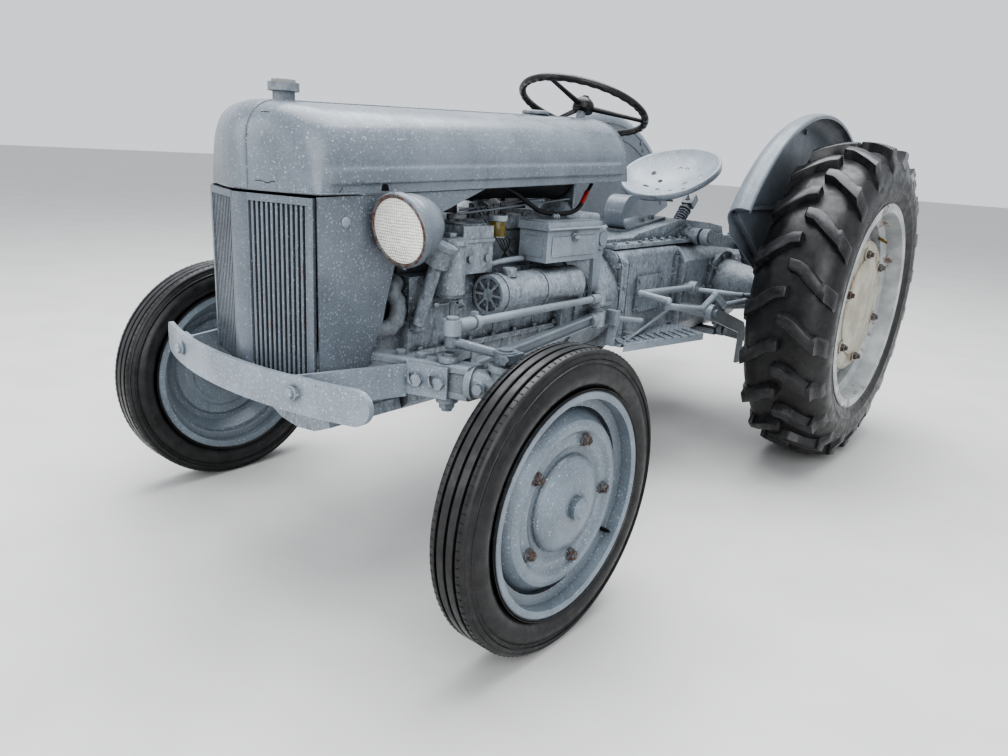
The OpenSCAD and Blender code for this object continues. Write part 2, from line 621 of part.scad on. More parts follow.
box_x = 150;
box_d = 458;
box_z = 774;
box_w = 100;
box_l = 262;
box_h = 90;
module toolbox() {
    color(grey) for (d = [box_d + 40, box_d + box_l - 60]) {
        at(crankcase_x - 24, d, crankcase_z + seat_gap) cube([20, 20, box_z - crankcase_z - seat_gap]);
        at(crankcase_x - 24, d, box_z - 5) cube([60, 20, 5]);
    }
    color(grey) difference() {
        union() {
            at(box_x, box_d, box_z) cube([box_w, box_l, box_h]);
            // Embossed panels on the outer and front faces
            at(box_x + box_w - 1, box_d + 22, box_z + 16) cube([3, box_l - 44, box_h - 34]);
            at(box_x + 16, box_d - 2, box_z + 16) cube([box_w - 32, 3, box_h - 34]);
            // Latch with a wing nut
            at(box_x + box_w - 1, box_d + box_l / 2 - 14, box_z + box_h - 30) cube([8, 28, 22]);
            at(box_x + box_w + 6, box_d + box_l / 2, box_z + box_h - 20) along_x(6, 10);
            at(box_x + box_w + 12, box_d + box_l / 2 - 16, box_z + box_h - 24) cube([4, 32, 8]);
        }
        at(box_x + 3, box_d + 3, box_z + 3) cube([box_w - 6, box_l - 6, box_h]);
    }
    // Middle knuckle of the hinge
    color(grey) at(box_x - 4, box_d + box_l / 2 - 30, box_z + box_h) along_y(4, 60);
}
module toolbox_lid() {
    z = box_z + box_h + seat_gap;
    color(grey) difference() {
        union() {
            at(box_x - 4, box_d - 4, z) cube([box_w + 8, box_l + 8, 22]);
            at(box_x + 10, box_d + 10, z + 20) cube([box_w - 20, box_l - 20, 4]);
            // Rolled lower edge
            at(box_x + box_w + 4, box_d - 4, z + 4) along_y(4, box_l + 8);
        }
        at(box_x - 1, box_d - 1, z - 1) cube([box_w + 2, box_l + 2, 18]);
        at(box_x - 10, box_d + box_l / 2 - 31, z - 10) cube([11.5, 62, 16]);
    }
    // Outer knuckles of the hinge
    color(grey) for (d = [box_d + 30, box_d + box_l - 90])
        at(box_x - 4, d, box_z + box_h) along_y(4, 60);
}
module fuel_tank() {
    z = hood_low_z + 84;
    color(grey) {
        slab_y(184, 500) translate([0, z]) soft_rect(330, 190, 70);
        slab_y(180, 12) translate([0, z]) soft_rect(338, 198, 74);
        slab_y(676, 12) translate([0, z]) soft_rect(338, 198, 74);
        at(80, 230, head_z + 6) cylinder(r = 24, h = 60);
        // Side ribs that meet the hood
        for (d = [260, 560]) slab_y(d, 16) translate([0, z - 40])
            square([2 * (hood_x - sheet - seat_gap), 24], center = true);
    }
}
dash_d = 836;
module steering_column() {
    base_z = gearbox_z + seat_gap;
    color(grey) {
        // Steering gear housing with cover, flange and bolts
        slab_y(engine_end + 8, 186) translate([0, base_z + 60]) soft_rect(230, 120, 16);
        slab_y(engine_end + 4, 194) translate([0, base_z + 7]) square([260, 14], center = true);
        both() {
            at(100, ball_d, drop_z) along_x(40, 50);
            at(100, ball_d, drop_z) along_x(24, clutch_x - 94);
            for (d = [engine_end + 22, engine_end + 180]) at(122, d, base_z + 13)
                cylinder(r = 9, h = 9, $fn = 6);
        }
        at(0, engine_end + 100, base_z + 112) cylinder(r1 = 70, r2 = 44, h = 40);
        bar(column_point(360), column_point(60), 26);
        bar(column_point(360), column_point(18 + seat_gap), 15);
        bar(column_point(250), column_point(200), 34);
        // Dash plate under the rear edge of the hood
        slab_y(dash_d, 10) translate([0, hood_rise * 0.9]) intersection() {
            hood_2d(sheet + 4);
            translate([-200, hood_low_z]) square([400, 190]);
        }
        at(-60, dash_d, 886) cube([120, 10, 120]);
        for (x = [-110, 0, 110]) at(x, dash_d + 6, hood_low_z + 150) along_y(x == 0 ? 34 : 28, 12);
        at(120, dash_d + 6, hood_low_z + 70) along_y(9, 40);
    }
}
sw_d = 936;
sw_z = 1228;
// Point on the column's middle line, s below the hub of the wheel
function column_point(s) = place(0, sw_d - s * sin(column_tilt), sw_z - s * cos(column_tilt));
module steering_wheel() {
    color(black) at(0, sw_d, sw_z) rotate([-column_tilt, 0, 0]) {
        rotate_extrude($fn = 96) translate([steering_wheel_r - 12, 0]) circle(r = 12);
        cylinder(r = 34, h = 36, center = true);
        translate([0, 0, 17]) cylinder(r1 = 30, r2 = 16, h = 12);
        for (a = [30, 150, 270]) rotate([0, 0, a]) translate([30, 0, 0]) rotate([0, 90, 0])
            cylinder(r1 = 8, r2 = 6, h = steering_wheel_r - 40);
    }
}

// Bodywork
// Height of the hood's lower edge at distance d behind the front axle
function hood_edge_z(d) = hood_low_z + hood_rise * (d + nose_reach) / hood_len;
shoulder_r = 122;
// Section of the hood: upright sides, wide round shoulders and a slightly crowned top
module hood_2d(grow) intersection() {
    union() {
        translate([-hood_x + grow, hood_low_z - 1]) square([2 * hood_x - 2 * grow, 74]);
        for (s = [-1, 1]) translate([s * (hood_x - shoulder_r), hood_low_z + 70])
            circle(r = shoulder_r - grow, $fn = 96);
        translate([-hood_x + shoulder_r, hood_low_z + 60]) square([2 * (hood_x - shoulder_r), 200]);
    }
    translate([0, hood_top_z - grow - 620]) circle(r = 620, $fn = 160);
    translate([-hood_x, hood_low_z - 1]) square([2 * hood_x, 300]);
}
module hood_form(grow) {
    rise = atan(hood_rise / hood_len);
    intersection() {
        at(0, -nose_reach, 0) rotate([rise, 0, 0]) rotate([-90, 0, 0])
            translate([0, 0, -30]) linear_extrude(hood_len + 60) mirror([0, 1]) hood_2d(grow);
        at(0, 0, 900) linear_extrude(400) polygon([[0, -nose_reach + grow],
            [hood_x - grow, -286 + grow * 0.8],
            [hood_x - grow, hood_len - nose_reach], [-hood_x + grow, hood_len - nose_reach],
            [-hood_x + grow, -286 + grow * 0.8]]);
        at(-300, 0, 0) rotate([90, 0, 90]) linear_extrude(600) {
            translate([-nose_reach + 110, hood_top_z - 100]) circle(r = 110 - grow, $fn = 96);
            translate([-nose_reach + grow, hood_low_z - 50]) square([hood_len - grow,
                hood_top_z - hood_low_z - 50]);
            translate([-nose_reach + 110, hood_low_z - 50]) square([hood_len - 110, 400]);
        }
    }
}
module hood() {
    rise = atan(hood_rise / hood_len);
    top_z = hood_top_z + hood_rise * 0.79;
    color(grey) difference() {
        union() {
            hood_form(0);
            // Two pressed beads along each side
            both() {
                bar(place(hood_x - 3, -250, hood_edge_z(-250) + 50), place(hood_x - 3, 850,
                    hood_edge_z(850) + 57), 8);
                bar(place(hood_x - 3, -250, hood_edge_z(-250) + 26), place(hood_x - 3, 886,
                    hood_edge_z(886) + 26), 7);
            }
        }
        hood_form(sheet);
        at(0, -221, 1000) cylinder(r = 28, h = 300);
        // Rear edge leans forward towards the top
        plate_x(-300, 600, [[hood_len - nose_reach, hood_low_z],
            [hood_len - nose_reach - 66, hood_top_z + hood_rise + 20],
            [hood_len - nose_reach + 40, hood_top_z + hood_rise + 20],
                [hood_len - nose_reach + 40, hood_low_z]]);
    }
    color(grey) {
        at(0, 683, top_z - 2) cylinder(r = 40, h = 6);
        at(0, 683, top_z) cylinder(r = 33, h = 24);
        at(0, 683, top_z + 22) cylinder(r1 = 33, r2 = 24, h = 6);
    }
}
grille_low_z = 545;
grille_bars = 12;
grille_angle = 15.6;
module grille() {
    h = hood_low_z - grille_low_z - seat_gap;
    color(grey) {
        // Middle post with a rounded front
        slab_z(grille_low_z, h) {
            translate([-34, -340]) square([68, 26]);
            translate([0, -316]) circle(r = 36);
        }
        both() at(34, -340, grille_low_z) rotate([0, 0, grille_angle]) {
            for (i = [0 : grille_bars - 1]) translate([6 + i * 158 / grille_bars, 2, 8])
                cube([6.5, 16, h - 16]);
            // Top and bottom rails, and a thin one half way behind the bars
            for (z = [0, h - 16]) translate([-4, 0, z]) cube([172, 18, 16]);
            translate([-4, 12, h / 2 - 4]) cube([172, 8, 8]);
            translate([158, 0, 0]) cube([14, 10, h]);
        }
    }
}
module side_panels() {
    color(grey) both() {
        plate_x(hood_x - 7, sheet, [[-283, 563], [-286, hood_edge_z(-286) - 0.5],
            [236, hood_edge_z(236) - 0.5],
            [150, 944], [68, 914], [-20, 862], [-69, 801], [-92, 720], [-104, 668], [-138, 602],
                [-146, 563]]);
        // Stiffening flange on the lower edge
        plate_x(hood_x - 24, 18, [[-278, 563], [-278, 567], [-148, 567], [-148, 563]]);
    }
}
lamp_x = 298;
lamp_reach = 141;
lamp_z = 892;
lamp_r = 82;
module headlights() {
    both() at(lamp_x, -lamp_reach, lamp_z) rotate([11, 0, 4]) {
        // Bowl drawn about the beam's line, deep and rounded at the back
        color(grey) rotate([-90, 0, 0]) {
            rotate_extrude() polygon(concat([[0, 118]],
                [for (a = [80 : -10 : 0]) [lamp_r * cos(a) - 6 * cos(a), 12 + 106 * sin(a)]],
                [[lamp_r, 12], [lamp_r, -2], [lamp_r - 4, -5], [lamp_r - 9, -2], [lamp_r - 9, 10],
                    [0, 10]]));
        }
        color([0.86, 0.86, 0.8]) rotate([-90, 0, 0]) rotate_extrude()
            polygon([[0, 10.5], [lamp_r - 9.3, 10.5],
            [lamp_r - 9.3, 2], [lamp_r * 0.6, -4], [lamp_r * 0.3, -7], [0, -8]]);
    }
    color(grey) both() {
        at(hood_x - 3 + seat_gap, -72, lamp_z - 60) cube([6, 60, 54]);
        bar(place(hood_x + 4, -44, lamp_z - 34), place(lamp_x - 34, -64, lamp_z - 30), 15);
        bar(place(lamp_x - 34, -64, lamp_z - 48), place(lamp_x - 24, -72, lamp_z - 6), 17);
    }
}
bumper_h = 80;
bumper_z = 550;
module bumper() {
    r = 1150;
    color(grey) {
        intersection() {
            at(0, -front_reach + r, bumper_z - bumper_h / 2) difference() {
                cylinder(r = r, h = bumper_h, $fn = 180);
                translate([0, 0, -1]) cylinder(r = r - 12, h = bumper_h + 2, $fn = 180);
            }
            slab_y(-front_reach, 120) translate([0, bumper_z]) soft_rect(822, bumper_h, 38);
        }
        both() {
            // Wide flat strap from the bumper back to the axle beam
            slab_z(bumper_z - 38, 76) {
                polygon([[220, -359], [300, -112], [296, -106], [287, -108.5], [211, -357]]);
                polygon([[205, -363], [264, -351], [264, -341], [205, -353]]);
            }
            // Plate on the front of the beam with two bolts
            at(383, axle_d(383), axle_z - 3) rotate([0, 0, sweep]) translate([-104, -35.8, -38]) {
                cube([104, 8.5, 76]);
                for (x = [30, 84]) translate([x, 1, 38]) rotate([90, 0, 0])
                    cylinder(r = 15, h = 14, $fn = 6);
            }
            at(232, -378, bumper_z + 4) rotate([-90, 0, 0]) cylinder(r = 15, h = 20, $fn = 6);
        }
    }
}

// Driveline
joint_d = 1003;
gearbox_low = 428;
module gearbox() {
    front = engine_end + seat_gap;
    bell_len = 250;
    color(grey) {
        // Clutch housing: flange, bell that narrows rearwards, side ribs
        at(0, front, bell_z) rotate([-90, 0, 0]) linear_extrude(20) rotate(180) bell_2d(clutch_x, 160);
        at(0, front, bell_z) intersection() {
            along_y(clutch_x + 4, bell_len, gearbox_x + 22);
            translate([6 - clutch_x, 0, -158]) cube([2 * clutch_x - 12, bell_len,
                gearbox_z - bell_z + 158]);
        }
        both() {
            at(clutch_x - 10, front + 10, bell_z - 7) cube([10, 200, 14]);
            for (z = [-120, -60, 30, 110]) at(bell_edge(z), front + 19, bell_z + z) along_y(9, 9);
        }
        // Gear case with its joint flange and a cover on the left
        slab_y(front + bell_len - 6, joint_d - front - bell_len + 6)
            translate([0, (gearbox_z + gearbox_low) / 2]) soft_rect(2 * gearbox_x + 16,
                gearbox_z - gearbox_low, 40);
        slab_y(joint_d - 20, 40)
            translate([0, (gearbox_z + gearbox_low) / 2]) soft_rect(2 * gearbox_x + 52,
                gearbox_z - gearbox_low, 64);
        slab_y(joint_d + 18, gearbox_end - joint_d - 18)
            translate([0, (gearbox_z + gearbox_low) / 2]) soft_rect(2 * gearbox_x, gearbox_z - gearbox_low,
                30);
        both() {
            for (z = [480, 560, 640, 720]) at(gearbox_x + 12, joint_d - 28, z) along_y(9, 9);
            at(gearbox_x - 2, joint_d + 60, 500) cube([8, 14, 220]);
            at(gearbox_x - 2, joint_d + 120, 540) cube([12, 190, 130]);
            for (d = [134, 296], z = [554, 656]) at(gearbox_x + 9, joint_d + d, z) along_x(8, 7);
            at(gearbox_x - 2, gearbox_end - 24, 470) cube([14, 24, 260]);
        }
    }
}
// Half width of the bell flange's bolt line at height z over its middle
function bell_edge(z) = sqrt(pow(clutch_x + 20, 2) - z * z) - 22;
trumpet_in = 108;
housing_x = 198;
module rear_housing() {
    end = gearbox_end + seat_gap;
    color(grey) {
        slab_y(end, housing_len) translate([0, rear_axle_z - 6]) intersection() {
            circle(r = 222, $fn = 96);
            translate([-186, -205]) square([372, 205 + gearbox_z - rear_axle_z + 6]);
        }
        slab_y(end, 22) translate([0, rear_axle_z - 6]) intersection() {
            circle(r = 232, $fn = 96);
            translate([-housing_x, -215]) square([2 * housing_x, 390]);
        }
        // Rear cover with its bolts
        at(0, end + housing_len - 2, rear_axle_z - 10) along_y(150, 16);
        for (i = [0 : 7]) at(130 * cos(45 * i), end + housing_len + 12,
            rear_axle_z - 10 + 130 * sin(45 * i))
            along_y(10, 8);
        both() {
            // Axle trumpet: flange, bell and tube
            at_rear(0, 0, rear_axle_z) rotate([0, 90, 0]) rotate_extrude()
                polygon([[0, 170], [138, 180], [138, 202],
                [trumpet_in, 202], [104, 230], [94, 280], [82, 340], [trumpet_r + 12, 390],
                    [trumpet_r, 420],
                [trumpet_r, 508], [0, 508]]);
            for (i = [0 : 9]) at_rear(201, 124 * cos(36 * i), rear_axle_z + 124 * sin(36 * i))
                along_x(8, 9);
            // Brake drum cover and axle end
            at_rear(505, 0, rear_axle_z) along_x(drum_r, 30);
            at_rear(535, 0, rear_axle_z) along_x(drum_r - 16, 12, drum_r - 40);
            at_rear(545, 0, rear_axle_z) along_x(30, rear_wheel_x + 5 - 545);
            // Brake lever on the front of the cover
            at_rear(470, -120, rear_axle_z + 6) along_x(14, 40);
            at_rear(468, -225, rear_axle_z - 8) cube([14, 120, 26]);
            // Stud of the lower link
            at_rear(186, 0, link_front_z + 40) along_x(26, 16);
            at_rear(196, -20, link_front_z - 24) cube([14, 40, 70]);
            at_rear(205, 0, link_front_z) along_x(11, 40);
            at_rear(241, 0, link_front_z) along_x(18, 5);
        }
        at_rear(-206, -30, link_front_z - 24) cube([412, 60, 24]);
        // Power take-off shaft with its collar
        at_rear(0, 226, rear_axle_z - 100) along_y(44, 12);
        at_rear(0, 230, rear_axle_z - 100) along_y(pto_r, pto_reach);
        // Top link ears
        for (x = [-34, 20]) plate_rear_x(x, 14, [[200, 650], [250, 690], [262, 730], [240, 752],
            [204, 740]]);
    }
}
pto_r = 17.4;
pto_reach = 96;
cover_h = 40;
cover_slope = 0.134;
shaft_d = -220;
shaft_z = 795;
lift_arm_x = 206;
// Height of the lift cover's sloping top, d behind the front axle
function cover_z(d) = gearbox_z + cover_h + cover_slope * (d - 1222);
module lift_cover() {
    base = gearbox_z + seat_gap;
    color(grey) difference() {
        union() {
            // Wedge that rises rearwards, with a flanged base
            plate_x(-98, 196, [[985, base], [1000, base + 26], [1180, cover_z(1180) - 8],
                [1210, cover_z(1210)],
                [1530, cover_z(1530)], [1600, cover_z(1530) - 2], [1800, base + 62], [1925, base + 44],
                    [1945, base]]);
            plate_x(-150, 300, [[980, base], [980, base + 14], [1950, base + 14], [1950, base]]);
            both() for (i = [0 : 11]) at(136, 1000 + i * 84, base + 13) cylinder(r = 9, h = 8, $fn = 6);
            both() {
                // Boss and sleeve of the lift shaft, with a web in front
                at_rear(0, shaft_d, shaft_z) along_x(40, 112);
                at_rear(100, shaft_d, shaft_z) along_x(33, 80);
                at_rear(128, shaft_d, shaft_z) along_x(36, 8);
                plate_x(90, 14, [[1380, base + 10], [1520, shaft_z + 36], [1560, shaft_z + 36],
                    [1600, base + 10]]);
            }
            // Rocker of the top link with its control spring
            at(-32, 1660, base + 10) cube([64, 60, 52]);
            at(0, 1712, 842) rotate([45, 0, 0]) rocker();
        }
        at_rear(-300, shaft_d, shaft_z) along_x(20 + pin_gap, 600);
        at(-160, 1480, base - 60) cube([320, 160, 60]);
    }
}
// Coil spring on a rod, with a fork at its end, leaning upwards
module rocker() {
    translate([0, -60, 0]) along_y(15, 150);
    for (i = [0 : 5]) translate([0, -26 + i * 13, 0]) rotate([90, 0, 0]) rotate_extrude()
        translate([21, 0]) circle(r = 5, $fn = 24);
    translate([0, -40, 0]) along_y(27, 8);
    translate([0, 50, 0]) along_y(27, 8);
    translate([-24, 78, -18]) cube([48, 14, 36]);
    for (x = [-24, 13]) translate([x, 90, -18]) cube([11, 40, 36]);
}
lift_droop = 8;
module lift_arms() {
    color(grey) {
        at_rear(-lift_arm_x - 18, shaft_d, shaft_z) along_x(20, 2 * lift_arm_x + 36);
        both() at_rear(lift_arm_x - 15, shaft_d, shaft_z) rotate([-lift_droop, 0, 0]) {
            along_x(33, 30);
            translate([7, 0, 0]) rotate([90, 0, 90]) linear_extrude(16) link_2d(lift_arm_len, 30, 17);
            translate([4, lift_arm_len, 0]) along_x(20, 22);
        }
    }
}
lift_end = place_rear(lift_arm_x + 12, shaft_d + lift_arm_len * cos(lift_droop),
    shaft_z - lift_arm_len * sin(lift_droop));
link_mid = 0.5;
link_mid_x = (225 + link_spread) / 2;
rod_end = place_rear(link_mid_x + 22, lower_link_len * link_mid * cos(link_droop),
    link_front_z - lower_link_len * link_mid * sin(link_droop));
module lift_rods() {
    v = rod_end - lift_end;
    u = v / norm(v);
    color(steel) both() {
        translate(lift_end + [-1, 0, 0]) along_x(19, 22);
        bar(lift_end + [12, 0, 0] + u * 6, rod_end - u * 62, 11);
        bar(lift_end + [12, 0, 0] + u * 60, lift_end + [12, 0, 0] + u * 150, 17);
        bar(rod_end - u * 150, rod_end - u * 58, 15);
        translate(rod_end - u * 62 - [15, 15, 12]) cube([30, 30, 12]);
    }
}
module lower_links() {
    a = atan((link_spread - 225) / lower_link_len);
    color(grey) both() at_rear(0, 0, link_front_z) rotate([-link_droop, 0, 0]) {
        difference() {
            union() {
                translate([214, 0, 0]) along_x(26, 22);
                translate([225, 0, 0]) rotate([0, 0, -a]) translate([-7, 16, -22])
                    cube([14, lower_link_len / cos(a) - 32, 44]);
                translate([225, 0, 0]) rotate([0, 0, -a]) translate([-9, 20, -10])
                    cube([18, lower_link_len / cos(a) - 52, 20]);
                translate([link_spread - 16, lower_link_len, 0]) along_x(link_end_r, 32);
                translate([link_mid_x - 12, lower_link_len * link_mid, 0]) along_x(18, 24);
            }
            translate([200, 0, 0]) along_x(11 + pin_gap * 6, 60);
            translate([link_spread - 40, lower_link_len, 0]) along_x(link_bore_r, 80);
        }
    }
}
link_bore_r = 11.2;

// Controls and seat
ball_d = engine_end + 55;
drop_z = 826;
drop_x = clutch_x + 6 + seat_gap;
module drop_arm() {
    color(grey) {
        at(drop_x, ball_d, drop_z) along_x(33, 22);
        at(drop_x + 20, ball_d, drop_z) along_x(20, 8);
        at(drop_x, ball_d, drop_z) rotate([0, 90, 0]) linear_extrude(14) link_2d(drop_len, 27, 17);
        at(drop_x, ball_d, drop_z - drop_len) along_x(19, 14);
    }
}
module drop_arm_left() drop_arm();
module drop_arm_right() mirror([1, 0, 0]) drop_arm();
module drag_link() {
    z = axle_z + steer_rise + 26 + 20;
    front = place(rod_x, axle_d(rod_x) + 8, z);
    back = place(drop_x + 14 + 22, ball_d, drop_z - drop_len);
    color(steel) {
        bar(front, back, 11);
        // Socket with its clamp at the front
        translate(front + [0, 0, -20 + seat_gap]) cylinder(r = 21, h = 36);
        translate(front + [0, 0, 14]) cylinder(r = 14, h = 8);
        along(front, back) translate([0, 0, 18]) cylinder(r = 15, h = 96);
        along(front, back) translate([0, 0, 84]) cylinder(r = 19, h = 14);
        along(front, back) translate([-26, -7, 84]) cube([26, 14, 14]);
        // Socket and stud at the rear
        along(front, back) translate([0, 0, norm(back - front) - 70]) cylinder(r = 15, h = 60);
        translate(back + [0, 0, -19]) cylinder(r = 20, h = 38);
        translate(back + [-22 + seat_gap, 0, 0]) along_x(8, 20);
    }
}
module drag_link_left() drag_link();
module drag_link_right() mirror([1, 0, 0]) drag_link();

spring_d = 1250;
spring_r = 64;
spring_x = 40;
spring_z = cover_z(spring_d) + seat_gap + spring_r;
// Height of the upper leaf, which falls a little rearwards
function leaf_z(d) = spring_z + spring_r - 0.055 * (d - spring_d);
module seat_spring() {
    leaf = 9;
    color(grey) {
        // Lower leaf on the sloping cover, upper leaf under the seat
        plate_x(-spring_x, 2 * spring_x, [for (p = [[1212, seat_gap], [1515, seat_gap],
            [1515, seat_gap + leaf],
            [1212, seat_gap + leaf]]) [p[0], cover_z(p[0]) + p[1]]]);
        plate_x(-spring_x, 2 * spring_x, [[spring_d, leaf_z(spring_d)], [spring_d, leaf_z(spring_d) - leaf],
            [1560, leaf_z(1560) - leaf], [1560, leaf_z(1560)]]);
        at(-spring_x, spring_d, spring_z) rotate([0, 90, 0]) difference() {
            cylinder(r = spring_r, h = 2 * spring_x, $fn = 96);
            translate([0, 0, -1]) cylinder(r = spring_r - leaf, h = 2 * spring_x + 2, $fn = 96);
            translate([-100, 0, -1]) cube([200, 100, 2 * spring_x + 2]);
        }
        // Cheek plates that close the upper front of the loop
        for (x = [-spring_x - 1, spring_x - 5]) intersection() {
            at(x, spring_d, spring_z) along_x(spring_r - 1, 6);
            plate_x(x, 6, [[1150, spring_z - 50], [1186, spring_z - 26], [1320, spring_z + 70],
                [1150, spring_z + 70]]);
        }
        for (d = [1400, 1470]) at(0, d, cover_z(d) + leaf - 1) cylinder(r = 13, h = 11, $fn = 6);
    }
}
seat_tilt = 23;
module seat() {
    bowl_r = 436;
    depth = bowl_r - sqrt(bowl_r * bowl_r - seat_r * seat_r);
    color(grey) difference() {
        union() {
            at(0, 1587, seat_z + 78) rotate([seat_tilt, 0, 0]) difference() {
                union() {
                    intersection() {
                        translate([0, 0, bowl_r - depth]) sphere(r = bowl_r + sheet, $fn = 120);
                        translate([0, 0, -80]) cylinder(r = seat_r, h = 80);
                    }
                    // Rolled rim
                    rotate_extrude($fn = 96) polygon([[seat_r - 12, 2], [seat_r - 4, 5], [seat_r + 6, 3],
                        [seat_r + 12, -6], [seat_r + 13, -26], [seat_r + 9, -26], [seat_r + 8, -6],
                        [seat_r + 3, -1], [seat_r - 12, -8]]);
                }
                translate([0, 0, bowl_r - depth]) sphere(r = bowl_r, $fn = 120);
                seat_holes();
                translate([-46, -seat_r - 30, -40]) cube([92, 50, 35]);
            }
            // Bracket between the pan and the spring
            plate_x(-34, 68, [[1470, leaf_z(1470) + seat_gap], [1470, leaf_z(1470) + 20],
                [1556, leaf_z(1556) + 70],
                [1556, leaf_z(1556) + seat_gap]]);
        }
        at(0, 1587, seat_z + 78) rotate([seat_tilt, 0, 0]) translate([0, 0, bowl_r - depth])
            sphere(r = bowl_r, $fn = 120);
    }
}
// Drain holes and slots across the pan
module seat_holes() {
    for (p = [[-90, -60], [-30, -60], [30, -60], [90, -60], [-60, 20], [60, 20], [-110, 50], [110, 50],
              [-14, 110], [14, 110]])
        translate([p[0], p[1], -100]) cylinder(r = 9, h = 120);
}

step_z = 485;
module steps_and_pedals() {
    color(grey) both() {
        // Foot plate with a folded outer edge and raised tread bars
        slab_z(step_z - 6, 6) step_2d();
        slab_z(step_z - 24, 20) polygon([[292, 863], [296, 863], [380, 1268], [376, 1268]]);
        for (i = [0 : 9]) slab_z(step_z - 1, 5) translate([226 + i * 8.2, 906 + i * 39]) rotate(-40 + i * 2)
            square([i < 5 ? 56 : 84, 9]);
        // Two carriers from the gear case and a stay rod
        for (d = [1050, 1230]) at(gearbox_x + seat_gap, d, step_z - 22) cube([130, 34, 17]);
        bar(place(268, 905, step_z - 4), place(gearbox_x + 18.4, 1408, 536), 6);
        // Bracket with a folded clip and a pin in front of the plate
        at(226, 862, step_z - 12) cube([56, 24, 10]);
        at(236, 846, step_z - 10) cube([26, 8, 92]);
        at(230, 836, step_z + 62) cube([38, 26, 48]);
        bar(place(250, 850, step_z + 84), place(270, 1000, step_z + 60), 9);
        // Pedal of bent round bar on its cross shaft
        at(housing_x + seat_gap, 1438, 612) along_x(16, 56);
        at(222, 1438, 612) along_x(26, 30);
        pipe([place(236, 1444, 606), place(400, 1512, 602), place(452, 1560, 602)], 10, 1.15);
        // The bar goes on from the foot end, back and down to the brake lever
        pipe([place(234, 1430, 615), place(214, 1076, 622), place(318, 1086, 612), place(300, 1110, 588),
              place(330, 1330, 556), place(360, 1366, 612), place(382, 1410, 572),
              place(420, 1500, 584), place(452, 1560, 572)], 12, 1.15);
        // Hanger bar with its hub
        at(housing_x + seat_gap, 1431, 531) along_x(20, 130);
        at(316, 1431, 531) along_x(32, 22);
        at(338, 1431, 531) rotate([0, 90, 0]) cylinder(r = 17, h = 12, $fn = 6);
        plate_x(322, 12, [[1418, 508], [1434, 556], [1740, 458], [1762, 430], [1762, 285], [1722, 285],
            [1722, 412]]);
    }
}
// The fender's centre stands behind and below the axle
fender_r = 744;
fender_x = 440;
fender_edge = 526;
fender_d = 10;
fender_z = 529;
module fenders() {
    color(grey) both() {
        intersection() {
            at_rear(0, fender_d, fender_z) rotate([0, 90, 0]) rotate_extrude($fn = 144) fender_2d();
            plate_rear_x(400, 300, [[-287, 706], [-552, 850], [-562, 878], [-620, 948], [-760, 1500],
                [800, 1500], [730, 930], [640, 850], [300, 726]]);
        }
        // Bracket round the axle trumpet, ribs and bolts of the panel
        difference() {
            plate_rear_x(fender_x - 8, 8, [[-90, 560], [-90, 800], [90, 800], [90, 560], [40, 520],
                [-40, 520]]);
            at_rear(400, 0, rear_axle_z) along_x(trumpet_r + seat_gap, 100);
        }
        plate_rear_x(fender_x + sheet - 1, 9, [[-558, 926], [-552, 940], [510, 940], [510, 926]]);
        plate_rear_x(fender_x + sheet - 1, 26, [[-566, 914], [-562, 920], [-310, 762], [-316, 756]]);
        for (p = [[-548, 920], [-300, 1150], [0, 1210], [300, 1150]])
            at_rear(fender_x - 5, p[0], p[1]) along_x(9, 18);
    }
}
// Section of a fender: flat panel, rounded shoulder, cover and folded outer edge
module fender_2d() {
    s = 56;
    top = fender_r + 4;
    polygon(concat([[120, fender_x], [top - s, fender_x]],
        [for (a = [0 : 10 : 80]) [top - s + s * sin(a), fender_x + s - s * cos(a)]],
        [[fender_r + 4, fender_x + s + 4], [fender_r, fender_edge - 4], [fender_r - 4, fender_edge],
         [fender_r - 14, fender_edge], [fender_r - 14, fender_edge - 3], [fender_r - 5, fender_edge - 4],
         [fender_r, fender_x + s + 4]],
        [for (a = [80 : -10 : 0]) [top - s + (s - 4) * sin(a), fender_x + s - (s - 4) * cos(a)]],
        [[120, fender_x + 4]]));
}

// Outline of the foot plate, wider behind its neck
module step_2d() polygon([[228, 906], [295, 863], [380, 1268], [262, 1330], [176, 1240], [223, 1124]]);

front_bolster();
radiator();
fan();
engine();
engine_side_box();
oil_fittings();
starter_and_generator();
manifold();
air_cleaner();
toolbox();
toolbox_lid();
fuel_tank();
steering_column();
steering_wheel();
hood();
grille();
side_panels();
headlights();
bumper();
front_axle();
radius_rods();
gearbox();
rear_housing();
lift_cover();
seat_spring();
seat();
steps_and_pedals();
fenders();
spindle_left();
spindle_right();
front_wheel_left();
front_wheel_right();
front_tyre_left();
front_tyre_right();
rear_wheel_left();
rear_wheel_right();
rear_tyre_left();
rear_tyre_right();
drop_arm_left();
drop_arm_right();
drag_link_left();
drag_link_right();
lift_arms();
lift_rods();
lower_links();
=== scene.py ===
import bmesh, bpy, math
from mathutils import Vector, Matrix
from mathutils.bvhtree import BVHTree


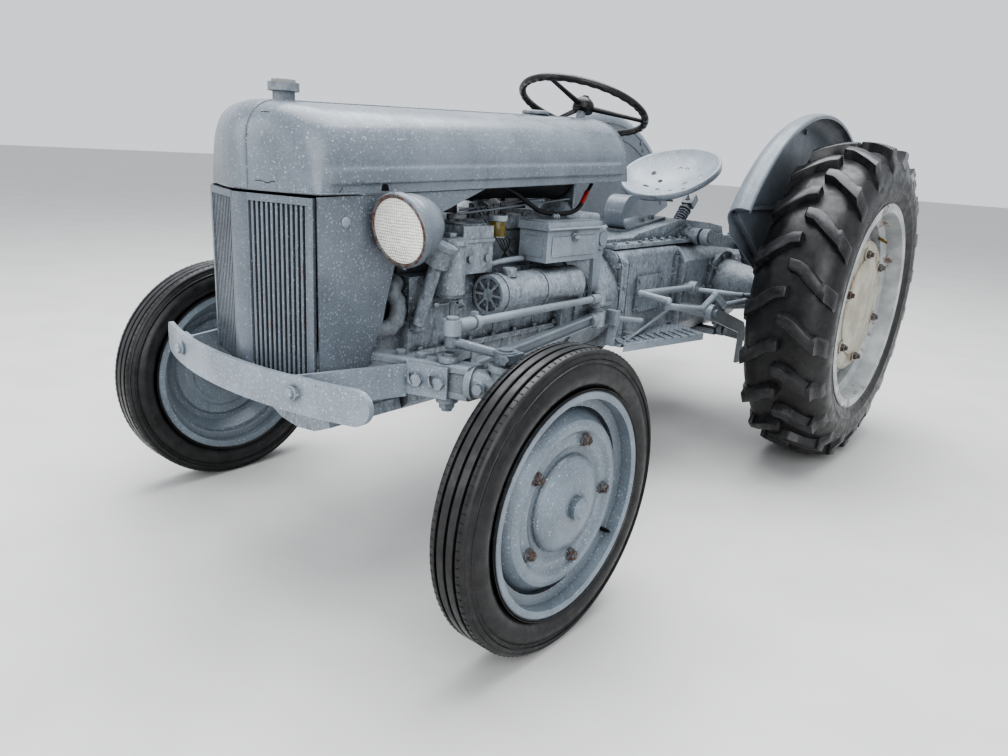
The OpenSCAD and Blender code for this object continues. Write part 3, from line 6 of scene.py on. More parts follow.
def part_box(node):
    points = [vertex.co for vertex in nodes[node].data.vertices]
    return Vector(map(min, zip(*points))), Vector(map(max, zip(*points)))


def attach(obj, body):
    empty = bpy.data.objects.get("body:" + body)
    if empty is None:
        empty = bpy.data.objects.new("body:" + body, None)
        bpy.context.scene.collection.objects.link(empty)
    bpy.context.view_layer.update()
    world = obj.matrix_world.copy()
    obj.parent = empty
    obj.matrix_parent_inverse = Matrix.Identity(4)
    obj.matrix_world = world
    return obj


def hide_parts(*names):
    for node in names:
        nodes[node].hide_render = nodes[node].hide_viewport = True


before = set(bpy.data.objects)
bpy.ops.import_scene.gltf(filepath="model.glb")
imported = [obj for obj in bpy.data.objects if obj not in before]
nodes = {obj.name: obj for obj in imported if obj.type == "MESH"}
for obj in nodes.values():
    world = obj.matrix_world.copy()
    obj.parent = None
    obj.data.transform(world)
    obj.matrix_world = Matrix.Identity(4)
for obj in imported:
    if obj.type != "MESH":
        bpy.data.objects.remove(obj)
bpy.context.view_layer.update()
sin, cos, pi = math.sin, math.cos, math.pi

# Places are given as in the drawings: x to the driver's left, d behind the front axle, z up, in mm
_lo, _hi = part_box("front_wheel_left")
FRONT = (_lo.y + _hi.y) / 2
_lo, _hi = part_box("rear_wheel_left")
REAR = (_lo.y + _hi.y) / 2
REAR_Z = (_lo.z + _hi.z) / 2


def at(x, d, z):
    return Vector((x / 1000, FRONT + d / 1000, z / 1000))


def middle(node):
    lo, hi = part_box(node)
    return (lo + hi) / 2


def link(ob):
    bpy.context.scene.collection.objects.link(ob)


# The photographer's place in metres, the camera's turn in degrees, its lens and sensor in mm
EYE = Vector((1.5338, -2.3424, 1.0679))
YAW, PITCH, ROLL = 219.26, -16.53, 3.6
LENS_MM, SENSOR_MM = 27.11, 36
PICTURE_W, PICTURE_H = 1008, 756


def make_camera():
    yaw, pitch, roll = [math.radians(a) for a in (YAW, PITCH, ROLL)]
    ahead = Vector((cos(yaw) * cos(pitch), sin(yaw) * cos(pitch), sin(pitch)))
    right = Vector((sin(yaw), -cos(yaw), 0))
    up = right.cross(ahead)
    right, up = cos(roll) * right + sin(roll) * up, cos(roll) * up - sin(roll) * right
    right, up, ahead = [Vector((v.y, -v.x, v.z)) for v in (right, up, ahead)]
    data = bpy.data.cameras.new("camera")
    data.lens, data.sensor_width = LENS_MM, SENSOR_MM
    cam = bpy.data.objects.new("camera", data)
    m = Matrix((right, up, -ahead)).transposed().to_4x4()
    m.translation = EYE
    cam.matrix_world = m
    link(cam)
    bpy.context.scene.camera = cam


make_camera()


# Materials

class Nodes:
    """A material's node tree, with short calls to add and join nodes."""

    def __init__(self, name):
        self.mat = bpy.data.materials.new(name)
        self.mat.use_nodes = True
        self.t = self.mat.node_tree
        self.t.nodes.clear()
        self.out = self.new("OutputMaterial")
        self.bsdf = self.new("BsdfPrincipled")
        self.join(self.bsdf.outputs[0], self.out.inputs[0])
        self.pos = self.new("TexCoord").outputs["Object"]

    def new(self, kind, **inputs):
        n = self.t.nodes.new("ShaderNode" + kind)
        for name, value in inputs.items():
            self.put(value, n.inputs[name])
        return n

    def join(self, a, b):
        self.t.links.new(a, b)

    def put(self, value, socket):
        if isinstance(value, (int, float)):
            socket.default_value = value
        elif isinstance(value, tuple):
            colour = len(value) == 3 and len(socket.default_value) == 4
            socket.default_value = (*value, 1) if colour else value
        else:
            self.join(value, socket)

    def set(self, name, value):
        """Gives one input of the surface a value or joins it"""
        self.put(value, self.bsdf.inputs[name])

    def axes(self):
        """x, y and z of the object's own place"""
        return self.new("SeparateXYZ", Vector=self.pos).outputs

    def math(self, op, a, b=0.0, c=0.0, clamp=False):
        n = self.new("Math")
        n.operation, n.use_clamp = op, clamp
        for v, s in zip((a, b, c), n.inputs):
            self.put(v, s)
        return n.outputs[0]

    def times(self, a, b):
        return self.math("MULTIPLY", a, b)

    def noise(self, scale, detail=3.0, rough=0.55, pos=None):
        n = self.new("TexNoise", Scale=scale, Detail=detail, Roughness=rough, Vector=pos or self.pos)
        return n.outputs[0]

    def stretched(self, scale):
        return self.new("Mapping", Scale=scale, Vector=self.pos).outputs[0]

    def step(self, v, lo, hi, a=0.0, b=1.0):
        n = self.new("MapRange")
        n.interpolation_type = "SMOOTHSTEP"
        for value, s in zip((v, lo, hi, a, b), n.inputs):
            self.put(value, s)
        return n.outputs[0]

    def mix(self, f, a, b, kind="MIX"):
        n = self.new("Mix")
        n.data_type, n.blend_type = "RGBA", kind
        self.put(f, n.inputs[0])
        self.put(a, n.inputs[6])
        self.put(b, n.inputs[7])
        return n.outputs[2]

    def crevice(self, reach):
        """1 in the open, towards 0 in corners"""
        n = self.new("AmbientOcclusion", Distance=reach)
        n.samples = 6
        return n.outputs["AO"]

    def normal(self):
        return self.new("NewGeometry").outputs["Normal"]

    def facing(self, axis):
        return self.new("SeparateXYZ", Vector=self.normal()).outputs[axis]

    def edge(self, radius):
        """Towards 1 along edges that stick out"""
        b = self.new("Bevel", Radius=radius)
        b.samples = 4
        d = self.new("VectorMath")
        d.operation = "DOT_PRODUCT"
        self.join(b.outputs[0], d.inputs[0])
        self.join(self.normal(), d.inputs[1])
        return self.step(d.outputs["Value"], 0.99, 0.85)

    def bump(self, height, strength, distance, normal=None):
        n = self.new("Bump", Strength=strength, Distance=distance, Height=height)
        if normal is not None:
            self.join(normal, n.inputs["Normal"])
        return n.outputs[0]

    def drops(self, scale, amount):
        """Height of round drops of mixed sizes, 0 between them"""
        n = self.new("TexVoronoi", Scale=scale, Vector=self.pos)
        s = self.new("SeparateColor", Color=n.outputs["Color"])
        size = self.times(self.math("POWER", s.outputs[0], 1.6), amount)
        return self.step(self.math("SUBTRACT", size, n.outputs["Distance"]), 0.0, 0.16)


def shade(base, k, add=0.0):
    """The base colour made darker or lighter"""
    return tuple(min(1, c * k + add) for c in base)


def rust_tint(t, scale=90):
    return t.mix(t.step(t.noise(scale, 4), 0.35, 0.65), (0.075, 0.026, 0.012), (0.22, 0.085, 0.03))


def painted(name, base, rough=0.4, wet=1.0, rust=0.0, cast=0.0, corner_shade=0.5, coat=0.3):
    """Brushed-over grey paint: mottled, scuffed at edges, with painted shade in corners, sprinkled with drops
    that carry a painted highlight.
    """
    t = Nodes(name)
    big = t.step(t.noise(7, 4), 0.3, 0.7)
    fine = t.noise(160, 3)
    col = t.mix(big, shade(base, 0.84), shade(base, 1.12))
    col = t.mix(t.step(fine, 0.35, 0.75, 0.0, 0.35), col, shade(base, 1.35))
    streak = t.noise(1, 4, pos=t.stretched((60, 60, 9)))
    col = t.mix(t.step(streak, 0.52, 0.8, 0.0, 0.3), col, shade(base, 0.6))
    # Painted shade: the paint is darkened in corners and crevices
    if corner_shade:
        corner_shade_mask = t.step(t.crevice(0.035), 0.42, 1.0, corner_shade, 0.0)
        col = t.mix(corner_shade_mask, col, shade(base, 0.18))
    if cast:
        pits = t.noise(1, 5, 0.7, t.stretched((75, 75, 30)))
        col = t.mix(t.step(pits, 0.50, 0.62, 0.0, 0.65 * cast), col, shade(base, 0.38))
        col = t.mix(t.step(t.noise(90, 5, 0.75), 0.53, 0.62, 0.0, 0.6 * cast), col, shade(base, 1.75))
        col = t.mix(t.step(t.noise(14, 5, 0.7), 0.48, 0.60, 0.0, 0.5 * cast), col, shade(base, 0.48))
    edge = t.edge(0.003)
    worn = t.times(edge, t.step(t.noise(70, 4), 0.4, 0.62))
    col = t.mix(t.times(worn, 0.45), col, shade(base, 1.7))
    if rust:
        patchy = t.math("ADD", t.noise(26, 5, 0.65), t.times(edge, 0.12))
        spots = t.step(patchy, 0.71 - 0.1 * rust, 0.77 - 0.1 * rust)
        col = t.mix(t.times(spots, 0.85), col, rust_tint(t))
    r = t.step(t.noise(30, 4), 0.3, 0.7, rough - 0.08, rough + 0.12)
    n = t.bump(t.noise(420, 3), 0.10 + 0.5 * cast, 0.0006 + 0.0016 * cast)
    if cast:
        n = t.bump(t.noise(45, 4), 0.35 * cast, 0.003, n)
    else:
        n = t.bump(t.noise(5, 2), 0.25, 0.006, n)
    if wet:
        drops = t.math("MAXIMUM", t.drops(150, 0.46), t.drops(330, 0.45))
        # The drops are coloured lighter: a painted highlight on each wet drop; their gloss and bump are real
        col = t.mix(t.times(drops, 0.52 * wet), col, shade(base, 2.0, 0.10))
        r = t.math("SUBTRACT", r, t.times(drops, 0.22), clamp=True)
        n = t.bump(drops, 0.45 * wet, 0.0012, n)
    t.set("Base Color", col)
    t.set("Roughness", r)
    t.set("Metallic", 0.0)
    t.set("Coat Weight", coat)
    t.set("Coat Roughness", 0.22)
    t.set("Normal", n)
    return t.mat


# Copies of the one grey paint, each with its own wear, rust and casting grain; their base colours are set
# lighter or darker part by part, which is painted light and shade
PAINT = painted("sheet_paint", (0.158, 0.181, 0.207), 0.36, 1.0, 0.1)
HOOD = painted("hood_paint", (0.180, 0.206, 0.234), 0.32, 1.0, 0.06, coat=0.45)
CAST = painted("cast_paint", (0.285, 0.318, 0.352), 0.45, 0.3, 0.12, 0.9, 0.92)
PALE = painted("pale_paint", (0.258, 0.290, 0.322), 0.38, 0.7, 0.15, corner_shade=0.7)
BUMPER = painted("bumper_paint", (0.272, 0.306, 0.342), 0.4, 1.0, 0.4, coat=0.2)
WHEEL = painted("wheel_paint", (0.180, 0.212, 0.243), 0.38, 1.0, 0.2, corner_shade=0.6)
SEAT = painted("seat_paint", (0.25, 0.280, 0.310), 0.34, 1.0, 0.1)


def bare_rust(name, bright=1.0):
    t = Nodes(name)
    dark, light = shade((0.045, 0.024, 0.017), bright), shade((0.15, 0.078, 0.050), bright)
    col = t.mix(t.step(t.noise(120, 5), 0.35, 0.7), dark, light)
    col = t.mix(t.step(t.noise(260, 2), 0.45, 0.65, 0, 0.6), col, (0.17, 0.17, 0.175))
    col = t.mix(t.step(t.noise(75, 4, 0.7), 0.44, 0.60, 0.0, 0.8), col, (0.17, 0.19, 0.205))
    t.set("Base Color", col)
    t.set("Roughness", 0.72)
    t.set("Metallic", 0.1)
    t.set("Normal", t.bump(t.noise(500, 3), 0.5, 0.0015))
    return t.mat


RUST = bare_rust("rusty_steel")
COPPER = bare_rust("lamp_rim_rust", 1.5)


def rubber(name, base, rough, wet, dust=0.25):
    t = Nodes(name)
    up = t.step(t.facing(2), 0.2, 1.0)
    col = t.mix(t.step(t.noise(20, 4), 0.35, 0.7), shade(base, 0.7), shade(base, 1.5))
    dusty = t.times(t.step(t.noise(55, 5, 0.65), 0.46, 0.66), dust)
    col = t.mix(dusty, col, (0.060, 0.057, 0.052))
    # Faces turned up are mixed towards a lighter bluish grey: a painted sheen of the sky
    col = t.mix(t.times(up, 0.16), col, (0.08, 0.08, 0.084))
    n = t.bump(t.noise(700, 3), 0.25, 0.0008)
    n = t.bump(t.noise(60, 4), 0.2, 0.0015, n)
    n = t.bump(t.drops(240, 0.4), 0.3 * wet, 0.001, n)
    t.set("Base Color", col)
    t.set("Roughness", t.step(t.noise(35, 4), 0.3, 0.7, rough - 0.12, rough + 0.14))
    t.set("Normal", n)
    t.set("Coat Weight", 0.25)
    t.set("Coat Roughness", 0.3)
    return t.mat


TYRE = rubber("tyre_rubber", (0.017, 0.017, 0.018), 0.38, 0.5)
# The lugs take a lighter copy of the casing's rubber: painted light on the lugs, beside their real dust
LUGS = rubber("lug_rubber", (0.024, 0.024, 0.026), 0.30, 0.5, 0.35)
RIM_BLACK = rubber("wheel_rim_black", (0.012, 0.012, 0.013), 0.30, 0.6, 0.1)


# Radii on the rear wheel: edge of the cream disc, the raised ring, the bolts, the rim (m)
DISC_R, RING_R, REAR_BOLT_R, RIM_R = 0.262, 0.186, 0.203, 0.31


def rear_wheel_mat():
    """Cream disc, silver rim outside it, rust runs from the bolts"""
    t = Nodes("rear_wheel_paint")
    _, y, z = t.axes()
    y, z = t.math("SUBTRACT", y, REAR), t.math("SUBTRACT", z, REAR_Z)
    r = t.math("SQRT", t.math("ADD", t.times(y, y), t.times(z, z)))
    disc = t.step(r, DISC_R, DISC_R + 0.006, 1.0, 0.0)
    cream = t.mix(t.step(t.noise(9, 5, 0.6), 0.35, 0.7), (0.34, 0.32, 0.26), (0.48, 0.47, 0.40))
    cream = t.mix(t.step(t.noise(60, 4), 0.5, 0.8, 0, 0.4), cream, (0.32, 0.29, 0.24))
    silver = t.mix(t.step(t.noise(11, 5), 0.35, 0.7), (0.34, 0.355, 0.36), (0.50, 0.515, 0.52))
    col = t.mix(disc, silver, cream)
    off_ring = t.math("ABSOLUTE", t.math("SUBTRACT", r, RING_R))
    col = t.mix(t.times(t.step(off_ring, 0.001, 0.0035, 1, 0), 0.5), col, (0.20, 0.15, 0.10))
    bolts = t.step(t.math("ABSOLUTE", t.math("SUBTRACT", r, REAR_BOLT_R)), 0.012, 0.045, 1, 0)
    runs = t.times(t.step(t.noise(1, 5, pos=t.stretched((14, 40, 12))), 0.5, 0.68), bolts)
    rim_runs = t.times(t.step(r, RIM_R, RIM_R + 0.04), t.step(t.noise(13, 5, 0.7), 0.56, 0.66))
    spots = t.step(t.noise(42, 5, 0.7), 0.66, 0.72)
    rusty = t.math("MAXIMUM", t.math("MAXIMUM", t.times(runs, 0.7), rim_runs), spots)
    col = t.mix(t.times(rusty, 0.75), col, rust_tint(t, 60))
    # Painted shade: the wheel is darker in its crevices
    col = t.mix(t.step(t.crevice(0.04), 0.3, 0.9, 0.6, 0), col, (0.10, 0.085, 0.065))
    t.set("Base Color", col)
    t.set("Roughness", t.step(t.noise(30, 4), 0.3, 0.7, 0.35, 0.6))
    t.set("Normal", t.bump(t.drops(210, 0.4), 0.3, 0.001, t.bump(t.noise(300, 3), 0.2, 0.001)))
    return t.mat


def plain(name, base, rough, metal=0.0, spread=0.2, scale=60, bump=0.15):
    """One colour that varies a little, with a fine grain"""
    t = Nodes(name)
    col = t.mix(t.step(t.noise(scale, 4), 0.3, 0.7), shade(base, 1 - spread), shade(base, 1 + spread))
    t.set("Base Color", col)
    t.set("Roughness", t.step(t.noise(scale * 2, 3), 0.3, 0.7, max(0.04, rough - 0.08), rough + 0.1))
    t.set("Metallic", metal)
    t.set("Normal", t.bump(t.noise(scale * 6, 3), bump, 0.0008))
    return t.mat


BLACK = plain("black_paint", (0.018, 0.019, 0.021), 0.5)


def radiator_mat():
    """Dark core, with worn grey paint on the tank above it, the plate in front and the neck"""
    t = Nodes("radiator_core")
    _, y, z = t.axes()
    grey = t.math("MAXIMUM", t.step(z, 1.135, 1.14), t.step(y, FRONT - 0.152, FRONT - 0.150))
    grain = t.step(t.noise(60, 4), 0.3, 0.7)
    dark = t.mix(grain, (0.016, 0.017, 0.018), (0.028, 0.029, 0.031))
    worn = t.mix(grain, (0.17, 0.19, 0.21), (0.27, 0.295, 0.315))
    worn = t.mix(t.times(t.step(z, 1.184, 1.188), 0.6), worn, (0.34, 0.32, 0.28))
    t.set("Base Color", t.mix(grey, dark, worn))
    t.set("Roughness", t.step(t.noise(90, 3), 0.3, 0.7, 0.42, 0.62))
    t.set("Normal", t.bump(t.noise(320, 3), 0.2, 0.001))
    return t.mat


CORE = radiator_mat()
RED = plain("red_cable", (0.30, 0.02, 0.015), 0.45)
WIRE = plain("black_wire", (0.015, 0.015, 0.016), 0.5)
BRASS = plain("brass", (0.34, 0.23, 0.09), 0.45, 0.8)
# Near-black for gaps, cuts, hand holes and cracks, where it is painted shade, and for the front valves
HOLE = plain("dark_gap", (0.008, 0.008, 0.009), 0.8)
AMBER = plain("amber_glass", (0.13, 0.105, 0.03), 0.15)


def lens_mat():
    """Moulded glass over a bright bowl: a net of small prisms, lighter towards the bottom. The bowl's
    brightness is a painted reflection in the glass's colour, with painted glints, and the top gets painted
    shade.
    """
    t = Nodes("lamp_lens")
    x, _, z = t.axes()
    across = t.math("ABSOLUTE", t.math("SINE", t.times(x, pi / 0.0062)))
    wavy = t.math("ADD", z, t.times(t.noise(40, 2), 0.006))
    down = t.math("ABSOLUTE", t.math("SINE", t.times(wavy, pi / 0.0068)))
    net = t.times(t.math("ADD", across, 0.25), t.math("ADD", down, 0.15))
    col = t.mix(t.step(net, 0.12, 0.85), (0.42, 0.40, 0.35), (0.93, 0.92, 0.87))
    # Painted glints: near-white specks on the glass
    col = t.mix(t.step(t.noise(55, 4, 0.7), 0.42, 0.62, 0.0, 0.45), col, (0.97, 0.96, 0.93))
    # Painted shade over the top of the lens, so it is lighter towards the bottom
    col = t.mix(t.step(z, 0.955, 0.86, 0.35, 0.0), col, (0.46, 0.44, 0.39))
    t.set("Base Color", col)
    t.set("Roughness", 0.16)
    t.set("Coat Weight", 0.8)
    t.set("Coat Roughness", 0.06)
    t.set("Normal", t.bump(net, 0.5, 0.0016))
    return t.mat


LENS = lens_mat()
REAR_WHEEL = rear_wheel_mat()

# What each CAD node is painted with; the tyres take plain rubber
LOOKS = {
    HOOD: "hood", BUMPER: "bumper", CORE: "radiator", BLACK: "fan fuel_tank", SEAT: "seat",
    RIM_BLACK: "steering_wheel",
    PAINT: "grille side_panels headlights seat_spring fenders spindle_left spindle_right lift_rods",
    CAST: "engine engine_side_box oil_fittings starter_and_generator manifold air_cleaner front_bolster "
          "steering_column gearbox rear_housing lift_cover lift_arms",
    PALE: "toolbox toolbox_lid front_axle radius_rods steps_and_pedals drop_arm_left drop_arm_right "
          "drag_link_left drag_link_right lower_links",
    WHEEL: "front_wheel_left front_wheel_right", REAR_WHEEL: "rear_wheel_left rear_wheel_right",
}
by_node = {node: mat for mat, names in LOOKS.items() for node in names.split()}
for name, obj in nodes.items():
    mat = by_node.get(name, TYRE)
    if not obj.data.materials:
        obj.data.materials.append(mat)
    for slot in obj.material_slots:
        slot.material = mat


# Mesh building

def turns(n):
    """Cosine and sine of n even steps round a circle"""
    return [(cos(2 * pi * k / n), sin(2 * pi * k / n)) for k in range(n)]


class Build:
    """Gathers points and faces of one piece, in metres, from forms measured in mm"""

    def __init__(self):
        self.v, self.f, self.m, self.sharp = [], [], [], 40

    def add(self, verts, faces, mat=0):
        k = len(self.v)
        self.v += [tuple(v) for v in verts]
        self.f += [tuple(i + k for i in f) for f in faces]
        self.m += [mat] * len(faces)

    def rings(self, rings, mat=0, close=True, caps=False):
        """Skin over rings of points, all the same length"""
        n = len(rings[0])
        verts = [p for r in rings for p in r]
        faces = []
        for j in range(len(rings) - 1):
            for i in range(n if close else n - 1):
                a, b = j * n + i, j * n + (i + 1) % n
                faces.append((a, b, b + n, a + n))
        if caps:
            faces.append(tuple(range(n))[::-1])
            faces.append(tuple((len(rings) - 1) * n + i for i in range(n)))
        self.add(verts, faces, mat)

    def lathe(self, profile, centre, axis, n=96, mat=0, closed=True):
        """profile: (radius, height along axis) in mm"""
        a = Vector(axis).normalized()
        u = a.orthogonal().normalized()
        w = a.cross(u)
        m = len(profile)
        rings = []
        for i in range(n):
            t = 2 * pi * i / n
            e = cos(t) * u + sin(t) * w
            rings.append([centre + (e * r + a * h) / 1000 for r, h in profile])
        faces = []
        for i in range(n):
            for j in range(m if closed else m - 1):
                b = (j + 1) % m
                k = (i + 1) % n
                faces.append((i * m + j, i * m + b, k * m + b, k * m + j))
        self.add([p for r in rings for p in r], faces, mat)

    def tube(self, points, r, n=12, mat=0, caps=True):
        pts = [Vector(p) for p in points]
        rings, u = [], None
        for i, p in enumerate(pts):
            d = (pts[min(i + 1, len(pts) - 1)] - pts[max(i - 1, 0)]).normalized()
            u = d.orthogonal().normalized() if u is None else (u - d * u.dot(d)).normalized()
            w = d.cross(u)
            rr = r[i] if isinstance(r, (list, tuple)) else r
            rings.append([p + (u * c + w * e) * rr / 1000 for c, e in turns(n)])
        self.rings(rings, mat, True, caps)

    def bolt(self, p, axis, r, h, mat=0, sides=6, washer=0.0):
        """Hexagon head with a chamfer, on a washer if one is asked for"""
        a = Vector(axis).normalized()
        u = a.orthogonal().normalized()
        w = a.cross(u)

        def ring(rr, hh, n):
            return [p + ((u * c + w * e) * rr + a * hh) / 1000 for c, e in turns(n)]
        base = 0.0
        if washer:
            flat = ((washer, -1), (washer, 2.2), (washer - 0.8, 3), (0.1, 3))
            self.rings([ring(rr, hh, 20) for rr, hh in flat], mat)
            base = 2.5
        head = ((r, base - 1.5), (r, base + h - 1.6), (r * 0.86, base + h), (0.1, base + h + 0.2))
        self.rings([ring(rr, hh, sides) for rr, hh in head], mat)

    def make(self, name, mats, body, slot):
        me = bpy.data.meshes.new(name)
        me.from_pydata(self.v, [], self.f)
        for m in mats:
            me.materials.append(m)
        me.polygons.foreach_set("material_index", self.m)
        me.validate()
        me.update()
        bm = bmesh.new()
        bm.from_mesh(me)
        bmesh.ops.remove_doubles(bm, verts=bm.verts, dist=1e-6)
        bmesh.ops.recalc_face_normals(bm, faces=bm.faces)
        bm.to_mesh(me)
        bm.free()
        me.shade_smooth()
        me.set_sharp_from_angle(angle=math.radians(self.sharp))
        ob = bpy.data.objects.new(name, me)
        link(ob)
        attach(ob, body)
        return ob


def thicken(ob, thickness):
    """Gives a skin the thickness of its sheet, inwards"""
    solid = ob.modifiers.new("thickness", "SOLIDIFY")
    solid.thickness, solid.offset = thickness, -1


def curve(points, steps=6):
    """Smooth run through the given points"""
    p = [Vector(q) for q in points]
    p = [p[0] * 2 - p[1]] + p + [p[-1] * 2 - p[-2]]
    out = []
    for i in range(1, len(p) - 2):
        for k in range(steps):
            t = k / steps
            a, b, c, d = p[i - 1], p[i], p[i + 1], p[i + 2]
            out.append(0.5 * ((2 * b) + (c - a) * t + (2 * a - 5 * b + 4 * c - d) * t * t
                              + (3 * b - a - 3 * c + d) * t ** 3))
    out.append(p[-2])
    return out


_trees = {}


def tree(node):
    """A CAD node's faces, sorted for rays"""
    if node not in _trees:
        me = nodes[node].data
        points, faces = [v.co.copy() for v in me.vertices], [tuple(q.vertices) for q in me.polygons]
        _trees[node] = BVHTree.FromPolygons(points, faces)
    return _trees[node]


def hit(node, start, way):
    """Where a ray meets a CAD node or the hood's skin, and the surface's direction there"""
    p, n, _, _ = tree(node).ray_cast(start, Vector(way).normalized())
    return p, n


# Tyres

# Front tyre: rim's and sidewall's middle radius, outward bow of the side (mm)
FRONT_RIM, SIDE_MID, SIDE_BOW = 243, 291, 0.72
CUTS = 120
BOX_FACES = [(4, 5, 6, 7), (0, 1, 5, 4), (1, 2, 6, 5), (2, 3, 7, 6), (3, 0, 4, 7)]


def front_tyre(side):
    lo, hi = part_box("front_tyre_" + side)
    c = (lo + hi) / 2
    r, w = (hi.z - lo.z) * 500, (hi.x - lo.x) * 1000
    # Tread from the middle to the shoulder: ribs with rounded lips, then the curved side and a bead
    half = [(r - 7, 0.0), (r - 7, 2.6), (r - 1.2, 3.2), (r, 4.6), (r, 19.5), (r - 1.2, 20.8), (r - 7, 21.4),
            (r - 7, 26.6), (r - 1.2, 27.2), (r - 0.3, 28.6), (r - 0.8, 36), (r - 3.2, 41), (r - 7, 44),
            (r - 9, 44.8), (r - 11, 43.6), (r - 13.5, 44.6), (r - 20, 47.5), (r - 21.5, 46.2), (r - 23.5, 48)]
    for k in range(9):
        a = math.radians(38 - 15 * k)
        half.append((SIDE_MID + w / 2 * sin(a) * SIDE_BOW, w / 2 * cos(a) ** 0.8 if cos(a) > 0 else 0))
    half = [q for q in half if q[0] > FRONT_RIM + 8]
    half += [(FRONT_RIM + 14, 47.5), (FRONT_RIM + 9, 47), (FRONT_RIM + 4, 45.5), (FRONT_RIM + 2.2, 44)]
    b = Build()
    b.sharp = 34
    b.lathe(half + [(p, -q) for p, q in reversed(half)], c, (1, 0, 0), 160)
    # Fine moulded lines on both sides
    for ring_r, off in ((322, 50.5), (262, 51.5), (258, 51.5)):
        for q in (1, -1):
            ring = [c + Vector((q * off / 1000, e * ring_r / 1000, f * ring_r / 1000)) for e, f in turns(120)]
            b.tube(ring + ring[:1], 1.3, 6, 0, False)
    # Small cuts across the ribs' edges, drawn as dark boxes: painted shade in the cuts
    for k in range(CUTS):
        t = 2 * pi * k / CUTS
        e = Vector((0, cos(t), sin(t)))
        g = Vector((0, -sin(t), cos(t)))
        for x in (-33.5, 33.5):
            m = c + e * (r - 1.0) / 1000 + Vector((x / 1000, 0, 0))
            corners = ((-1, -1), (1, -1), (1, 1), (-1, 1))
            q = [m + g * u * 0.0006 + Vector((v * 0.0045, 0, 0)) for u, v in corners]
            b.add([p - e * 0.002 for p in q] + [p + e * 0.0009 for p in q], BOX_FACES, 1)
    ob = b.make("front_tyre_%s_detail" % side, [TYRE, HOLE], "front_wheel_" + side, "tyre_rubber")
    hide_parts("front_tyre_" + side)


# Rear tyre: radius over the lugs, width, height of a lug, rounding of the shoulder, bow of the tread (mm)
LUG_COUNT = 20
REAR_R, REAR_W, LUG_H, BULGE, TREAD_BOW = 592.0, 296.0, 32, 92.0, 420
CASE_R = REAR_R - LUG_H
FLAT = REAR_W / 2 - BULGE - 0.25
# Distances from the tyre's middle at which a lug's section is drawn
STATIONS = [-8.0, -6.5, -3, 4, 12, 20, 26, 34, 44, 54, 60, 70, 80, 90, 100, 108, 113, 118, 121, 123, 125, 129,
            134, 139, 142, 144, 145.5]


def between(a, pts):
    """Value at a on a line through the given points"""
    for (x0, y0), (x1, y1) in zip(pts, pts[1:]):
        if a <= x1:
            return y0 + (y1 - y0) * (a - x0) / (x1 - x0)
    return pts[-1][1]


def lug_top(a):
    """Radius of a lug's outer face at a distance from the middle"""
    arc = REAR_R - TREAD_BOW + math.sqrt(TREAD_BOW ** 2 - a * a) - 0.5
    e = abs(a)
    if e <= 120:
        return arc
    if e <= 124:
        return min(arc, CASE_R + 60 - (e - 120) * 12)
    if e <= 142:
        return min(arc, CASE_R - 8 - (e - 124) * 32 / 18)
    return CASE_R - 40 - (e - 142) * 56 / 4


def casing(a):
    """Radius of the casing between the lugs at a distance from the middle"""
    a = abs(a)
    if a < FLAT:
        return CASE_R - 3
    return CASE_R - 3 - BULGE + math.sqrt(max(0, BULGE ** 2 - (a - FLAT) ** 2))


def rear_tyre(side):
    s = SIDES[side]
    c = middle("rear_tyre_" + side)
    b = Build()
    b.sharp = 36
    half = [(CASE_R - 3, 0.0), (CASE_R - 3, FLAT)]
    for k in range(1, 10):
        a = math.radians(10 * k)
        half.append((CASE_R - 3 - BULGE * (1 - cos(a)), FLAT + BULGE * sin(a)))
    half += [(450, 147), (430, 144.5), (426, 145.6), (421, 143.6), (405, 138), (388, 130), (382, 130.5),
             (376, 127), (366, 124), (361.5, 118)]
    b.lathe(half + [(p, -q) for p, q in reversed(half)], c, (1, 0, 0), 144)
    last = len(STATIONS) - 1
    for i in range(LUG_COUNT):
        for half_turn in (0, 1):
            base = 2 * pi * (i + half_turn / 2) / LUG_COUNT
            rings = []
            for j, a in enumerate(STATIONS):
                # Leading and trailing edge along the tread, outer face, foot in the casing
                l = between(a, ((-8, -12), (24, -20), (60, -50), (148, -114)))
                t = between(a, ((-8, 26), (26, 22), (58, 6), (108, -40), (118, -36), (148, -58)))
                h, f = lug_top(a), casing(a) - 7
                # The ends are drawn in a little, which rounds them
                end = {0: 7.0, 1: 2.6}.get(j, 0.0) + {last: 4.0}.get(j, 0.0)
                h = h - end * 0.6
                l, t = l + end * 0.3, t - end * 0.3
                foot = f + min(8, (h - f) * 0.4)
                pts = [(l - 7, f), (l - 3, foot), (l + 0.4, h - 5), (l + 1.8, h - 1.6), (l + 5.5, h),
                       ((l + t) / 2, h + 0.3), (t - 5.5, h), (t - 1.8, h - 1.6), (t - 0.4, h - 5),
                       (t + 3, foot), (t + 7, f)]
                ring = []
                for tan, rad in pts:
                    ang = base + tan / max(rad, 400)
                    # The casing's drawing axis: the lug leans the same way on both sides of the middle
                    e = Vector((0, -sin(ang), -cos(ang)))
                    ax = -a if half_turn == 0 else a
                    ring.append(c + (e * rad + Vector((-s * ax, 0, 0))) / 1000)
                rings.append(ring)
            b.rings(rings, 1, True, True)
    ob = b.make("rear_tyre_%s_detail" % side, [TYRE, LUGS], "rear_wheel_" + side, "tyre_rubber")
    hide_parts("rear_tyre_" + side)


SIDES = {"left": 1, "right": -1}
for side in SIDES:
    front_tyre(side)
    rear_tyre(side)


# Hood: one smooth skin from the nose to the dash, with a raised rail along each side

# Height of the lower edge and the top, half width, nose in front of the axle, rounding of the shoulder (mm)
LOW, TOP, HALF, REACH, SHOULDER = 953.0, 1154.0, 209.0, 358.0, 122.0
